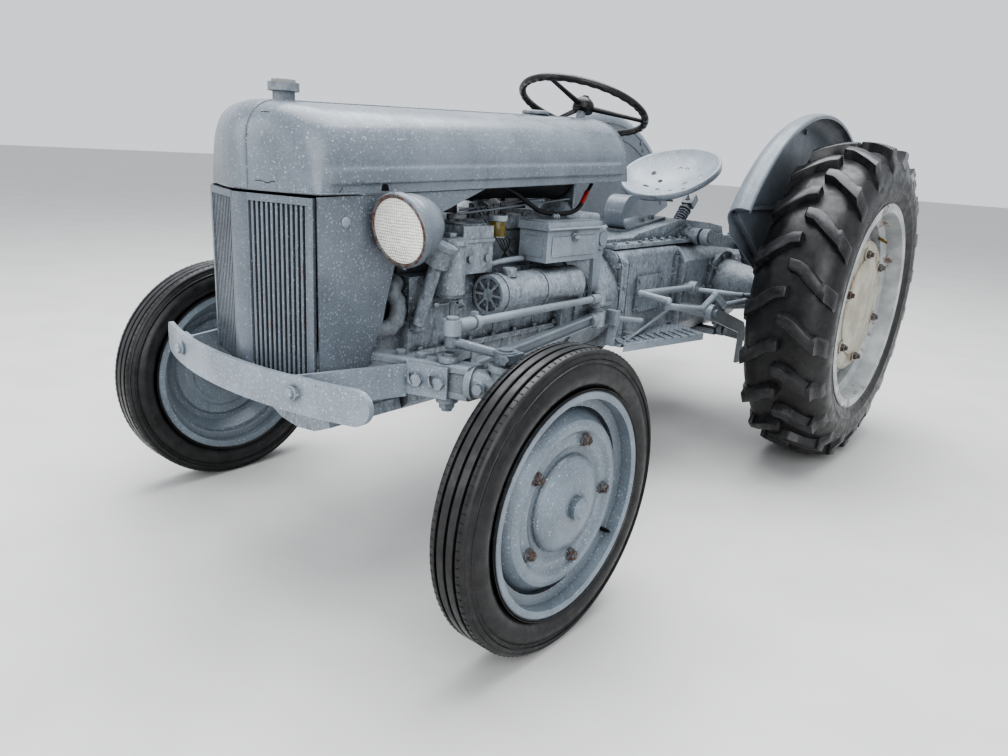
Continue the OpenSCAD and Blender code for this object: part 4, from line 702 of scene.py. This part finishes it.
# The hood rises by CLIMB over its RUN; radius of its crown; where the brow over the grille starts to curve
CLIMB, RUN, CROWN = 48, 1280, 620
BROW_D, BROW_Z, BROW_R = -236, 1054, 122
RISE = math.atan(CLIMB / RUN)
# The nose is drawn with rays from this distance behind its tip, in this many rows; the body in so many more
NOSE_BASE, NOSE_ROWS, BODY_ROWS = 236.0, 38, 45


def smooth_max(a, b, k):
    h = max(k - abs(a - b), 0.0) / k
    return max(a, b) + h * h * k / 4


def hood_place(x, along, h):
    """Drawing place (x, d, z) of a point given along and over the hood's own sloping base line"""
    return x, -REACH + along * cos(RISE) - h * sin(RISE), along * sin(RISE) + h * cos(RISE)


def outside_hood(x, along, h):
    """Below 0 inside the hood's form, with its corners blended"""
    _, d, z = hood_place(x, along, h)
    side = math.hypot(max(abs(x) - (HALF - SHOULDER), 0), max(h - (LOW + 70), 0)) - SHOULDER
    crown = math.hypot(x, h - (TOP - CROWN)) - CROWN
    section = smooth_max(side, crown, 30)
    lift = min(1, max(0, (z - LOW) / 130))
    nose = math.sqrt(x * x + 14 * 14) * 0.3258 - (d + REACH) * 0.9455
    brow = math.hypot(max(BROW_D - d, 0), max(z - BROW_Z, 0)) - BROW_R
    return smooth_max(smooth_max(section, nose, 22 + 50 * lift), brow, 30)


def hood_reach(start, way):
    """How far the form's surface is from a point inside it"""
    lo, hi = 0.0, 420.0
    for _ in range(22):
        mid = (lo + hi) / 2
        if outside_hood(*[a + b * mid for a, b in zip(start, way)]) < 0:
            lo = mid
        else:
            hi = mid
    return lo


def rail(over_edge):
    """How far the pressed rail stands out at a height over the lower edge"""
    if over_edge < 22 or over_edge > 60:
        return 0.0
    return 5.0 * min(1, (over_edge - 22) / 2.5, (60 - over_edge) / 6)


def hood_skin():
    marks = [0, 3, 8, 15, 21, 22.2, 24.6, 27, 34, 42, 50, 54, 57, 60.2, 64, 70]
    angles = [math.atan2(h, HALF) for h in marks]
    angles += [math.radians(k * 1.75) for k in range(11, 52)]
    angles += [pi - t for t in reversed(angles)]
    rows = []
    # The nose: rays turned about a line across the hood
    for k in range(NOSE_ROWS):
        phi = math.radians(88.7 * (1 - k / NOSE_ROWS))
        row = []
        for t in angles:
            way = (cos(t), -sin(t) * sin(phi), sin(t) * cos(phi))
            far = hood_reach((0, NOSE_BASE, LOW), way)
            row.append([far * way[0], NOSE_BASE + far * way[1], LOW + far * way[2]])
        rows.append(row)
    # The body: one section drawn back to the leaning rear edge
    section = []
    for t in angles:
        far = hood_reach((0, NOSE_BASE, LOW), (cos(t), 0, sin(t)))
        section.append((far * cos(t), LOW + far * sin(t)))
    for k in range(BODY_ROWS):
        row = []
        for x, h in section:
            end = (922 - 66 * (h + 22 - LOW) / 269 + REACH + h * sin(RISE)) / cos(RISE)
            row.append([x, NOSE_BASE + (end - NOSE_BASE) * k / (BODY_ROWS - 1), h])
        rows.append(row)
    for row in rows:
        for q in row:
            _, d, z = hood_place(*q)
            fade = min(1, max(0, (d + 262) / 14), max(0, (880 - d) / 14))
            if abs(q[0]) > HALF - 12 and fade > 0:
                q[0] += math.copysign(rail(z - LOW - CLIMB * (d + REACH) / RUN) * fade, q[0])
    b = Build()
    b.sharp = 62
    rings = [[at(*hood_place(*q)) for q in row] for row in rows]
    b.rings(rings, 0, False)
    _trees["hood_skin"] = BVHTree.FromPolygons(b.v, b.f)
    # Round lid over the fuel filler
    lid = [(0, 1186), (42, 1186), (43, 1193), (41, 1196), (36, 1197.5), (12, 1198.5), (0, 1198.5)]
    b.lathe(lid, at(0, 683, 0), (0, 0, 1), 40, 0, False)
    ob = b.make("hood_skin", [HOOD], "chassis", "hood_paint")
    thicken(ob, 0.003)
    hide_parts("hood")
    return rings


hood_rows = hood_skin()


def seen(u, v, node, lift=0.0):
    """Where the sight line through a point of the picture meets a node"""
    m = bpy.context.scene.camera.matrix_world
    across = (u - PICTURE_W / 2) / PICTURE_W * SENSOR_MM / LENS_MM
    up = (PICTURE_H / 2 - v) / PICTURE_W * SENSOR_MM / LENS_MM
    p, n = hit(node, EYE, m.to_3x3() @ Vector((across, up, -1)))
    return None if p is None else p + n * lift / 1000


def skin_path(x, lift):
    """Points up the nose and back along the top of the hood at one lateral place"""
    rays = [(at(x, -700, z), Vector((0, 1, 0))) for z in range(962, BROW_Z, 12)]
    for k in range(0, 91, 5):
        a = math.radians(k)
        way = Vector((0, cos(a), -sin(a)))
        rays.append((at(x, BROW_D, BROW_Z) - way * 0.5, way))
    rays += [(at(x, d, 1500), Vector((0, 0, -1))) for d in range(-200, 845, 40)]
    met = [(hit("hood_skin", start, way)[0], way) for start, way in rays]
    return [p - way * lift / 1000 for p, way in met if p is not None]


def hood_details():
    b = Build()
    b.sharp = 28
    cols = [(-39.4, -1.0), (-38.6, 2.0), (-36, 2.6), (-28, 2.9), (0, 3.1), (28, 2.9), (36, 2.6), (38.6, 2.0),
            (39.4, -1.0)]
    rows = [skin_path(x, l) for x, l in cols]
    n = min(len(r) for r in rows)
    b.rings([[r[i] for r in rows] for i in range(n)], 0, False)
    b.make("hood_band", [HOOD], "chassis", "hood_paint")
    b = Build()
    inner = Vector((0, 0.0025, 0.0035))
    b.tube([p + inner for p in hood_rows[0][6:-6]], 2.6, 8)
    for first, inwards in ((0, -0.0012), (-1, 0.0012)):
        b.tube([row[first] + Vector((inwards, 0, 0.003)) for row in hood_rows[NOSE_ROWS - 1:]], 3.2, 10)
    b.make("hood_rolled_edges", [HOOD], "chassis", "hood_paint")
    b = Build()
    # Small arched hand hole low on each side, drawn as a dark sheet: painted shade in the hole
    arch = [math.radians(k) for k in range(0, 181, 20)]
    ring = [(-11, 0), (11, 0)] + [(9.5 * cos(a), 8 + 7 * sin(a)) for a in arch]
    for s in (-1, 1):
        p, n = hit("hood_skin", at(s * 500, -105, 969.5), (-s, 0, 0))
        if p is not None:
            q = [p + Vector((s * 0.0006, u / 1000, v / 1000)) for u, v in ring]
            m = len(q)
            b.add(q + [v + Vector((-s * 0.002, 0, 0)) for v in q],
                  [tuple(range(m))] + [(i, (i + 1) % m, (i + 1) % m + m, i + m) for i in range(m)])
    # Cracks in old filler, placed along sight lines, drawn as thin dark tubes: painted shade inside the
    # cracks
    for pts in ([(255.1, 180.4), (260, 180.3), (265, 182), (268.5, 182.8), (271.5, 181.2), (275, 181.4)],
                [(239.5, 134.6), (243, 134), (248, 134.3)], [(261, 111.8), (265, 111.5), (269.5, 112)],
                [(209.8, 173), (213, 173.2), (216.5, 174)], [(233.9, 166), (233.3, 180), (232.8, 191)],
                [(342.5, 187), (341.5, 190), (338, 193), (335, 194.6)]):
        line = [q for q in (seen(u, v, "hood_skin", 0.1) for u, v in pts) if q is not None]
        if len(line) > 1:
            b.tube(curve(line, 4), 0.75, 5)
    b.make("hood_gaps", [HOLE], "chassis", "black_paint")


hood_details()


# Headlights: patterned lens and a rusty inner rim. Place and radius of the lens (mm), squares across it
LAMP, LENS_R, LENS_GRID = (298, -141, 892), 72.6, 90


def lamp(side):
    s = SIDES[side]
    tilt = Matrix.Rotation(math.radians(11), 4, "X") @ Matrix.Rotation(math.radians(4), 4, "Z")

    def place(u, v, h):
        """u across, v up, h out of the lens, in mm, before the lamp is turned"""
        q = tilt @ Vector((u, -h, v)) / 1000 + at(*LAMP)
        return Vector((q.x * s, q.y, q.z))

    def height(u, v):
        r = math.hypot(u, v) / LENS_R
        dome = 2.8 + 7.6 * (1 - r * r)
        flute = 0.75 * abs(sin(u * pi / 6.4))
        band = 0.55 * abs(sin((v + 0.003 * u * u) * pi / 8.5))
        return dome + (flute + band) * min(1, (1 - r) * 14)
    b = Build()
    b.sharp = 24
    verts, faces, n = [], [], LENS_GRID
    for i in range(n + 1):
        for j in range(n + 1):
            u, v = (i / n * 2 - 1), (j / n * 2 - 1)
            # Square grid drawn round, so the lens has no ragged edge
            x, y = u * math.sqrt(1 - v * v / 2) * LENS_R, v * math.sqrt(1 - u * u / 2) * LENS_R
            verts.append(place(x, y, height(x, y)))
    for i in range(n):
        for j in range(n):
            k = i * (n + 1) + j
            faces.append((k, k + n + 1, k + n + 2, k + 1))
    b.add(verts, faces)
    b.make("lens_" + side, [LENS], "chassis", "lamp_glass")
    b = Build()
    prof = [(71.5, 1.5), (71.8, 4.4), (73.5, 6.2), (76.5, 6.4), (79.6, 5.0), (82.3, 1.6), (83.0, -3),
            (83.0, -11), (81.6, -13), (80.0, -12)]
    rings = [[place(r * e, r * f, h) for e, f in turns(96)] for r, h in prof]
    b.rings(rings[:5], 1)
    b.rings(rings[4:], 0)
    for degrees in (-92, 92):
        a = math.radians(degrees)
        b.bolt(place(83 * cos(a), 83 * sin(a), -5), Vector((s * cos(a), 0.1, sin(a))), 5, 5, 0)
    b.make("lamp_rim_" + side, [PAINT, COPPER], "chassis", "grey_paint")


for side in SIDES:
    lamp(side)


# Wheel bolts and valves: distance of each wheel's middle from the centre line, radius of the front bolts (m)
FRONT_TRACK, REAR_TRACK, FRONT_BOLT_R = 0.663, 0.665, 0.145


def spoke(a):
    """Direction on a wheel; the drawing turns the wheel onto its side, so its first axis points down"""
    return Vector((0, sin(a), -cos(a)))


def out(s, x):
    """x metres outwards on one side"""
    return Vector((s * x, 0, 0))


def valve(k, s, e, parts):
    b = Build()
    for x0, in0, x1, in1, r in parts:
        b.tube([k + out(s, x0) - e * in0, k + out(s, x1) - e * in1], r, 12)
    return b


def wheel_details(side):
    s = SIDES[side]
    c = middle("front_wheel_" + side)
    c.x = s * FRONT_TRACK
    b = Build()
    for i in range(5):
        p = c + spoke(math.radians(72 * i + 15)) * FRONT_BOLT_R + out(s, 0.0312)
        b.bolt(p, (s, 0, 0), 11.6, 11.6, 0, 6, 15)
        b.tube([p + out(s, 0.012), p + out(s, 0.0175)], 5.5, 10)
    b.make("front_wheel_bolts_" + side, [RUST], "front_wheel_" + side, "wheel_paint")
    e = Vector((0, sin(2.2), cos(2.2)))
    b = valve(c + e * 0.226, s, e, ((0.016, 0, 0.034, 0.004, 5), (0.033, 0.004, 0.044, 0.006, 3.6)))
    b.make("front_valve_" + side, [HOLE], "front_wheel_" + side, "black_rim")
    c = middle("rear_wheel_" + side)
    c.x = s * REAR_TRACK
    b = Build()
    for i in range(6):
        p = c + spoke(math.radians(60 * i + 12)) * REAR_BOLT_R + out(s, 0.0918)
        b.lathe([(0, -2), (22.6, -2), (22.6, 1.8), (20, 2.4), (0, 2.6)], p, (s, 0, 0), 28, 1, False)
        b.bolt(p, (s, 0, 0), 15.5, 15, 0, 6)
        b.tube([p + out(s, 0.013), p + out(s, 0.0238)], 8.4, 14)
    b.make("rear_wheel_bolts_" + side, [RUST, REAR_WHEEL], "rear_wheel_" + side, "rear_wheel_paint")
    e = Vector((0, sin(0.7), cos(0.7)))
    b = valve(c + e * 0.318, s, e, ((0.06, 0, 0.082, 0.012, 5.5), (0.081, 0.012, 0.096, 0.02, 4)))
    b.make("rear_valve_" + side, [BRASS], "rear_wheel_" + side, "rear_wheel_paint")


for side in SIDES:
    wheel_details(side)


# Steering wheel: place of its hub, lean in degrees, radius of the rim's middle and of its section (mm)
HUB, WHEEL_LEAN, HAND_R, SECTION_R = (0, 936, 1228), -20, 210, 11.7
GRIPS, RIM_STEPS = 36, 288


def steering_wheel():
    tilt = Matrix.Rotation(math.radians(WHEEL_LEAN), 3, "X")
    c = at(*HUB)
    b = Build()
    b.sharp = 60
    rings = []
    for i in range(RIM_STEPS):
        # Finger grips under the rim
        a = 2 * pi * i / RIM_STEPS
        grip = 0.5 + 0.5 * cos(a * GRIPS)
        ring = []
        for g, h in turns(16):
            rr = SECTION_R - max(0, -h) * 2.0 * (1 - grip)
            x = HAND_R + rr * g
            ring.append(c + tilt @ Vector((x * cos(a), x * sin(a), rr * h + 0.2)) / 1000)
        rings.append(ring)
    rings.append(rings[0])
    b.rings(rings, 0)
    up = tilt @ Vector((0, 0, 1))
    # Hub with its nut, and the spokes' sockets at the rim
    hub = [(0, -16), (31, -16), (35, -12), (35, 10), (30, 18), (20, 27), (14, 29), (0, 29.5)]
    b.lathe(hub, c, up, 40, 0, False)
    b.bolt(c + up * 0.0285, up, 12, 8, 1, 6)
    for degrees in (30, 150, 270):
        t = math.radians(degrees)
        e = tilt @ Vector((cos(t), sin(t), 0))
        b.tube([c + e * r for r in (0.02, 0.06, 0.12, 0.19, 0.204)], [9.5, 8.4, 7.2, 6.4, 8], 16)
    ob = b.make("steering_wheel_detail", [RIM_BLACK, BLACK], "steering_wheel", "black_rim")
    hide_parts("steering_wheel")


steering_wheel()


# Seat: dished pan with raised sides and back, rolled rim and drain holes. Its middle, lean in degrees,
# radius (mm), points round it and rings across it
PAN, PAN_LEAN, PAN_R, PAN_ROUND, PAN_RINGS = (0, 1587, 1026), 27, 190, 180, 56
# Drain holes: middle x and y, half length and half width
DRAINS = [(-84, -58, 13, 8), (-28, -66, 8, 8), (28, -66, 8, 8), (84, -58, 13, 8), (-56, 6, 8, 12),
          (56, 6, 8, 12), (-104, 44, 8, 13), (104, 44, 8, 13), (-16, 104, 8, 8), (16, 104, 8, 8)]


def pan_place(a, r):
    """Place on the pan: round at the back, flatter at the front where it meets the bracket"""
    edge = PAN_R - 12 * max(0, -sin(a)) ** 6
    return edge * r * cos(a), edge * r * sin(a)


def pan_height(x, y, r):
    return -44 * (1 - r * r) + r ** 3 * (20 * (x / PAN_R) ** 2 + 16 * max(0, y / PAN_R) ** 2)


def seat_pan():
    lean = Matrix.Rotation(math.radians(PAN_LEAN), 3, "X")
    c = at(*PAN)
    b = Build()
    b.sharp = 70
    n, verts, faces = PAN_ROUND, [], []
    for j in range(PAN_RINGS + 1):
        for i in range(n):
            x, y = pan_place(2 * pi * i / n, j / PAN_RINGS)
            verts.append(c + lean @ Vector((x, y, pan_height(x, y, j / PAN_RINGS))) / 1000)
    for j in range(1, PAN_RINGS):
        for i in range(n):
            x, y = pan_place(2 * pi * (i + 0.5) / n, (j + 0.5) / PAN_RINGS)
            if any(((x - u) / p) ** 2 + ((y - v) / q) ** 2 < 1 for u, v, p, q in DRAINS):
                continue
            k = (i + 1) % n
            faces.append((j * n + i, j * n + k, (j + 1) * n + k, (j + 1) * n + i))
    faces.append(tuple(range(n, 2 * n))[::-1])
    b.add(verts, faces)
    # Rim rolled over and down
    rim = []
    for dr, dz in ((0, 0), (4, 2.2), (8, 1.6), (10.5, -2), (11.5, -8), (11, -22), (9, -23), (8.6, -9),
                   (6.5, -3.4), (0, -3)):
        ring = []
        for i in range(n):
            a = 2 * pi * i / n
            x, y = pan_place(a, 1)
            q = Vector((x + dr * cos(a), y + dr * sin(a), pan_height(x, y, 1) + dz))
            ring.append(c + lean @ q / 1000)
        rim.append(ring)
    b.rings(rim, 0)
    # Bracket between the pan and the spring
    leaf = [hit("seat_spring", at(0, d, 1400), (0, 0, -1))[0].z * 1000 for d in (1470, 1556)]
    outline = [(1470, leaf[0] + 0.5), (1470, leaf[0] + 8), (1556, leaf[1] + 36), (1556, leaf[1] + 0.5)]
    q = [at(s * 34, d, z) for s in (-1, 1) for d, z in outline]
    b.add(q, [(0, 1, 2, 3), (7, 6, 5, 4)] + [(i, (i + 1) % 4, (i + 1) % 4 + 4, i + 4) for i in range(4)])
    ob = b.make("seat_pan", [SEAT], "chassis", "grey_paint")
    thicken(ob, 0.0022)
    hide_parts("seat")


seat_pan()


# Wiring, pipes and small rods round the engine

def run(*places):
    """Smooth run through drawing places"""
    return curve([at(*q) for q in places])


def plumbing():
    b = Build()
    # Plug wires from the front of the engine
    for i in range(4):
        d = 130 + 140 * i
        b.tube([at(0, d, 926), at(0, d, 944)], 7, 10)
        b.tube(run((0, d, 940), (14 + 4 * i, d - 8, 958), (60, d - 40 - 20 * i, 952 - 3 * i),
                   (92, 60 + 12 * i, 930), (78, 34 + 10 * i, 905), (60, 24 + 8 * i, 880)), 3.6, 8)
    # Cable that hangs under the hood down to the box and up to the dash
    b.tube(run((146, 330, 985), (158, 400, 968), (168, 470, 932), (174, 520, 910), (176, 590, 903),
               (176, 650, 904), (174, 694, 912), (168, 730, 930)), 6.5, 12)
    b.tube(run((162, 760, 962), (156, 790, 985), (150, 812, 1010), (140, 830, 1040)), 5.5, 10)
    # Thin leads in the dark behind the box
    for k in range(5):
        b.tube(run((96 + 5 * k, 300 + 26 * k, 930), (122 - 3 * k, 340 + 20 * k, 880 - 6 * k),
                   (140 - 2 * k, 380 + 14 * k, 820), (146, 420 - 10 * k, 776)), 1.4, 6)
    b.make("wiring", [WIRE], "chassis", "black_paint")
    b = Build()
    b.tube(run((168, 728, 929), (166, 742, 944), (163, 756, 958), (161, 764, 966)), 7.2, 12)
    b.make("red_lead", [RED], "chassis", "black_paint")
    b = Build()
    # Clamps just under the cable
    for front, back, r in ((566, 596, 10), (572, 576, 12), (586, 590, 12)):
        b.tube([at(178, front, 893), at(178, back, 893)], r, 14)
    # Pipe with a fork end low beside the box, and the oil line under the filter
    b.tube(run((162, 316, 768), (166, 350, 774), (168, 400, 778), (168, 452, 779)), 9, 14)
    b.tube([at(160, 308, 767), at(163, 322, 769)], 13, 14)
    b.tube(run((192, 132, 704), (192, 132, 690), (184, 124, 684), (170, 96, 682), (160, 60, 678),
               (156, 44, 664)), 3.2, 10)
    b.tube(run((192, 138, 692), (200, 160, 690), (198, 184, 676), (170, 196, 664)), 3.2, 10)
    for q, way in (((192, 132, 696), (0, 0, 1)), ((176, 108, 683), (-0.4, -0.9, 0)),
                   ((198, 158, 690), (0.3, 1, 0))):
        b.bolt(at(*q), way, 8, 12, 0, 6)
    # Stay between filler tube and head
    b.tube(run((150, 98, 734), (156, 84, 748), (190, 60, 740), (204, 52, 742)), 3, 8)
    # Throttle and choke rods along the block
    b.tube([at(120, 230, 904), at(112, 740, 940)], 3, 8)
    b.tube([at(104, 250, 912), at(98, 740, 952)], 2.4, 8)
    b.make("engine_pipes", [PALE], "chassis", "cast_paint")
    b = Build()
    # Amber glass of the sediment bowl
    bowl = [(0, 846), (21, 846), (23, 850), (23.2, 886), (20, 891), (0, 892)]
    b.lathe(bowl, at(172, 332, 0), (0, 0, 1), 28, 0, False)
    b.make("sediment_glass", [AMBER], "chassis", "lamp_glass")


plumbing()


# Bolts that hold the castings together

def casting_bolts():
    b = Build()
    ends = (-1, 1)
    for i in range(7):
        for s in ends:
            b.bolt(at(s * 158, 66 + i * 96, 564.5), (0, 0, 1), 7.5, 7, 0, 6, 11)
    rays = [("engine", at(s * 600, d, 742), (-s, 0, 0), 7, 6) for s in ends for d in (70, 200, 330, 460, 590)]
    rays += [("gearbox", at(s * 600, 1003, z), (-s, 0, 0), 8, 7) for z in (484, 566, 648, 730) for s in ends]
    rays += [("lift_cover", at(s * 118, d, 1100), (0, 0, -1), 9, 7)
             for d in (1240, 1300, 1360, 1420, 1500, 1560) for s in ends]
    # Ring of bolts where each axle trumpet joins the housing
    for k in range(10):
        a = 2 * pi * k / 10
        for s in ends:
            start = Vector((s * 0.30, REAR + 0.158 * cos(a), REAR_Z + 0.158 * sin(a)))
            rays.append(("rear_housing", start, (-s, 0, 0), 8.5, 8))
    # Ring round the rear cover
    for k in range(8):
        a = 2 * pi * (k + 0.5) / 8
        start = Vector((0.15 * cos(a), REAR + 1.0, REAR_Z + 0.02 + 0.15 * sin(a)))
        rays.append(("rear_housing", start, (0, -1, 0), 9, 8))
    for node, start, way, r, h in rays:
        p, n = hit(node, start, way)
        on_slope = node == "rear_housing" and way[0] and n is not None and abs(n.x) <= 0.8
        if p is not None and not on_slope:
            b.bolt(p, n, r, h, 0, 6, r + 3.5)
    b.make("casting_bolts", [CAST], "chassis", "cast_paint")
    b = Build()
    # Bolts on the bumper and its plates, and a round head on each side panel
    for s in ends:
        for d, x, z in ((-260, 313, 555), (-260, 364, 557), (-600, 232, 556)):
            p, n = hit("bumper", at(s * x, d, z), (0, 1, 0))
            if p is not None:
                b.bolt(p - n * 0.002, n, 12, 8, 0, 6, 16)
        p, n = hit("side_panels", at(s * 600, -212, 903), (-s, 0, 0))
        if p is not None:
            b.lathe([(0, -1), (12, -1), (12, 1), (8, 3.2), (0, 4)], p, n, 20, 0, False)
    b.make("front_bolts", [BUMPER], "chassis", "grey_paint")


casting_bolts()


# Raised diamonds on the foot plates

def step_tread():
    b = Build()
    for s in (-1, 1):
        for i in range(26):
            for j in range(12):
                x, d = 182 + j * 17 + (i % 2) * 8.5, 872 + i * 17.6
                p, n = hit("steps_and_pedals", at(s * x, d, 498), (0, 0, -1))
                if p is None or n.z < 0.9 or p.z > 0.4905 or p.z < 0.482:
                    continue
                t = 0.7 if (i + j) % 2 else -0.7
                e = Vector((cos(t), sin(t), 0)) * 0.0062
                g = Vector((-sin(t), cos(t), 0)) * 0.0026
                q = [p - e, p - g, p + e, p + g]
                b.add([v - n * 0.001 for v in q] + [p + (v - p) * 0.45 + n * 0.0022 for v in q], BOX_FACES)
    b.make("step_tread", [PALE], "chassis", "grey_paint")


step_tread()


# Fender beads and bolts: radii of two beads and a row of bolts about the fender's centre, and its height (m)
BEADS, FENDER_BOLT_R, FENDER_Z = (0.696, 0.640), 0.668, 0.529


def on_fender(s, r, degrees):
    a = math.radians(degrees)
    return hit("fenders", Vector((s * 0.30, REAR + 0.010 + r * sin(a), FENDER_Z + r * cos(a))), (s, 0, 0))


def fender_details():
    b = Build()
    for s in (-1, 1):
        for r in BEADS:
            met = [on_fender(s, r, k)[0] for k in range(-52, 60, 3)]
            pts = [p + Vector((-s * 0.0006, 0, 0)) for p in met if p is not None and abs(p.x) < 0.452]
            if len(pts) > 3:
                b.tube(pts, 2.6, 8)
        for k in (-48, -30, -12, 8, 28, 46):
            p, n = on_fender(s, FENDER_BOLT_R, k)
            if p is not None and abs(p.x) < 0.46:
                b.lathe([(0, -1), (9, -1), (8.4, 2), (5, 4.4), (0, 5.2)], p, n, 16, 0, False)
    b.make("fender_beads", [PAINT], "chassis", "grey_paint")


fender_details()


# Floor, half its side (m), and light
FLOOR = 40
SKY, SKY_STRENGTH = (0.80, 0.83, 0.87, 1), 0.84
# Name, place, what it points at, size (m) and power (W) of each soft light
LAMPS = (("overhead", (-0.5, 0.5, 6.0), (0, 0, 0.5), 7.0, 420),
         ("front_left", (4.5, -4.5, 3.2), (0, -0.2, 0.6), 6.0, 170),
         ("front_right", (-3.0, -5.5, 2.6), (0, -0.6, 0.6), 4.0, 60))


def stage():
    scene = bpy.context.scene
    me = bpy.data.meshes.new("floor")
    corners = [(x * FLOOR, y * FLOOR, 0) for x, y in ((-1, -1), (1, -1), (1, 1), (-1, 1))]
    me.from_pydata(corners, [], [(0, 1, 2, 3)])
    me.materials.append(plain("floor_grey", (0.60, 0.59, 0.575), 0.75, 0.0, 0.03, 3, 0.1))
    floor = bpy.data.objects.new("floor", me)
    link(floor)
    world = bpy.data.worlds.new("sky")
    world.use_nodes = True
    background = world.node_tree.nodes["Background"]
    background.inputs[0].default_value = SKY
    background.inputs[1].default_value = SKY_STRENGTH
    scene.world = world
    for name, place, target, size, power in LAMPS:
        data = bpy.data.lights.new(name, "AREA")
        data.shape, data.size, data.energy = "DISK", size, power
        data.color = (0.97, 0.985, 1.0)
        ob = bpy.data.objects.new(name, data)
        ob.location = place
        ob.rotation_mode = "QUATERNION"
        ob.rotation_quaternion = (Vector(target) - Vector(place)).to_track_quat("-Z", "Y")
        link(ob)
    scene.view_settings.look = "AgX - High Contrast"


stage()
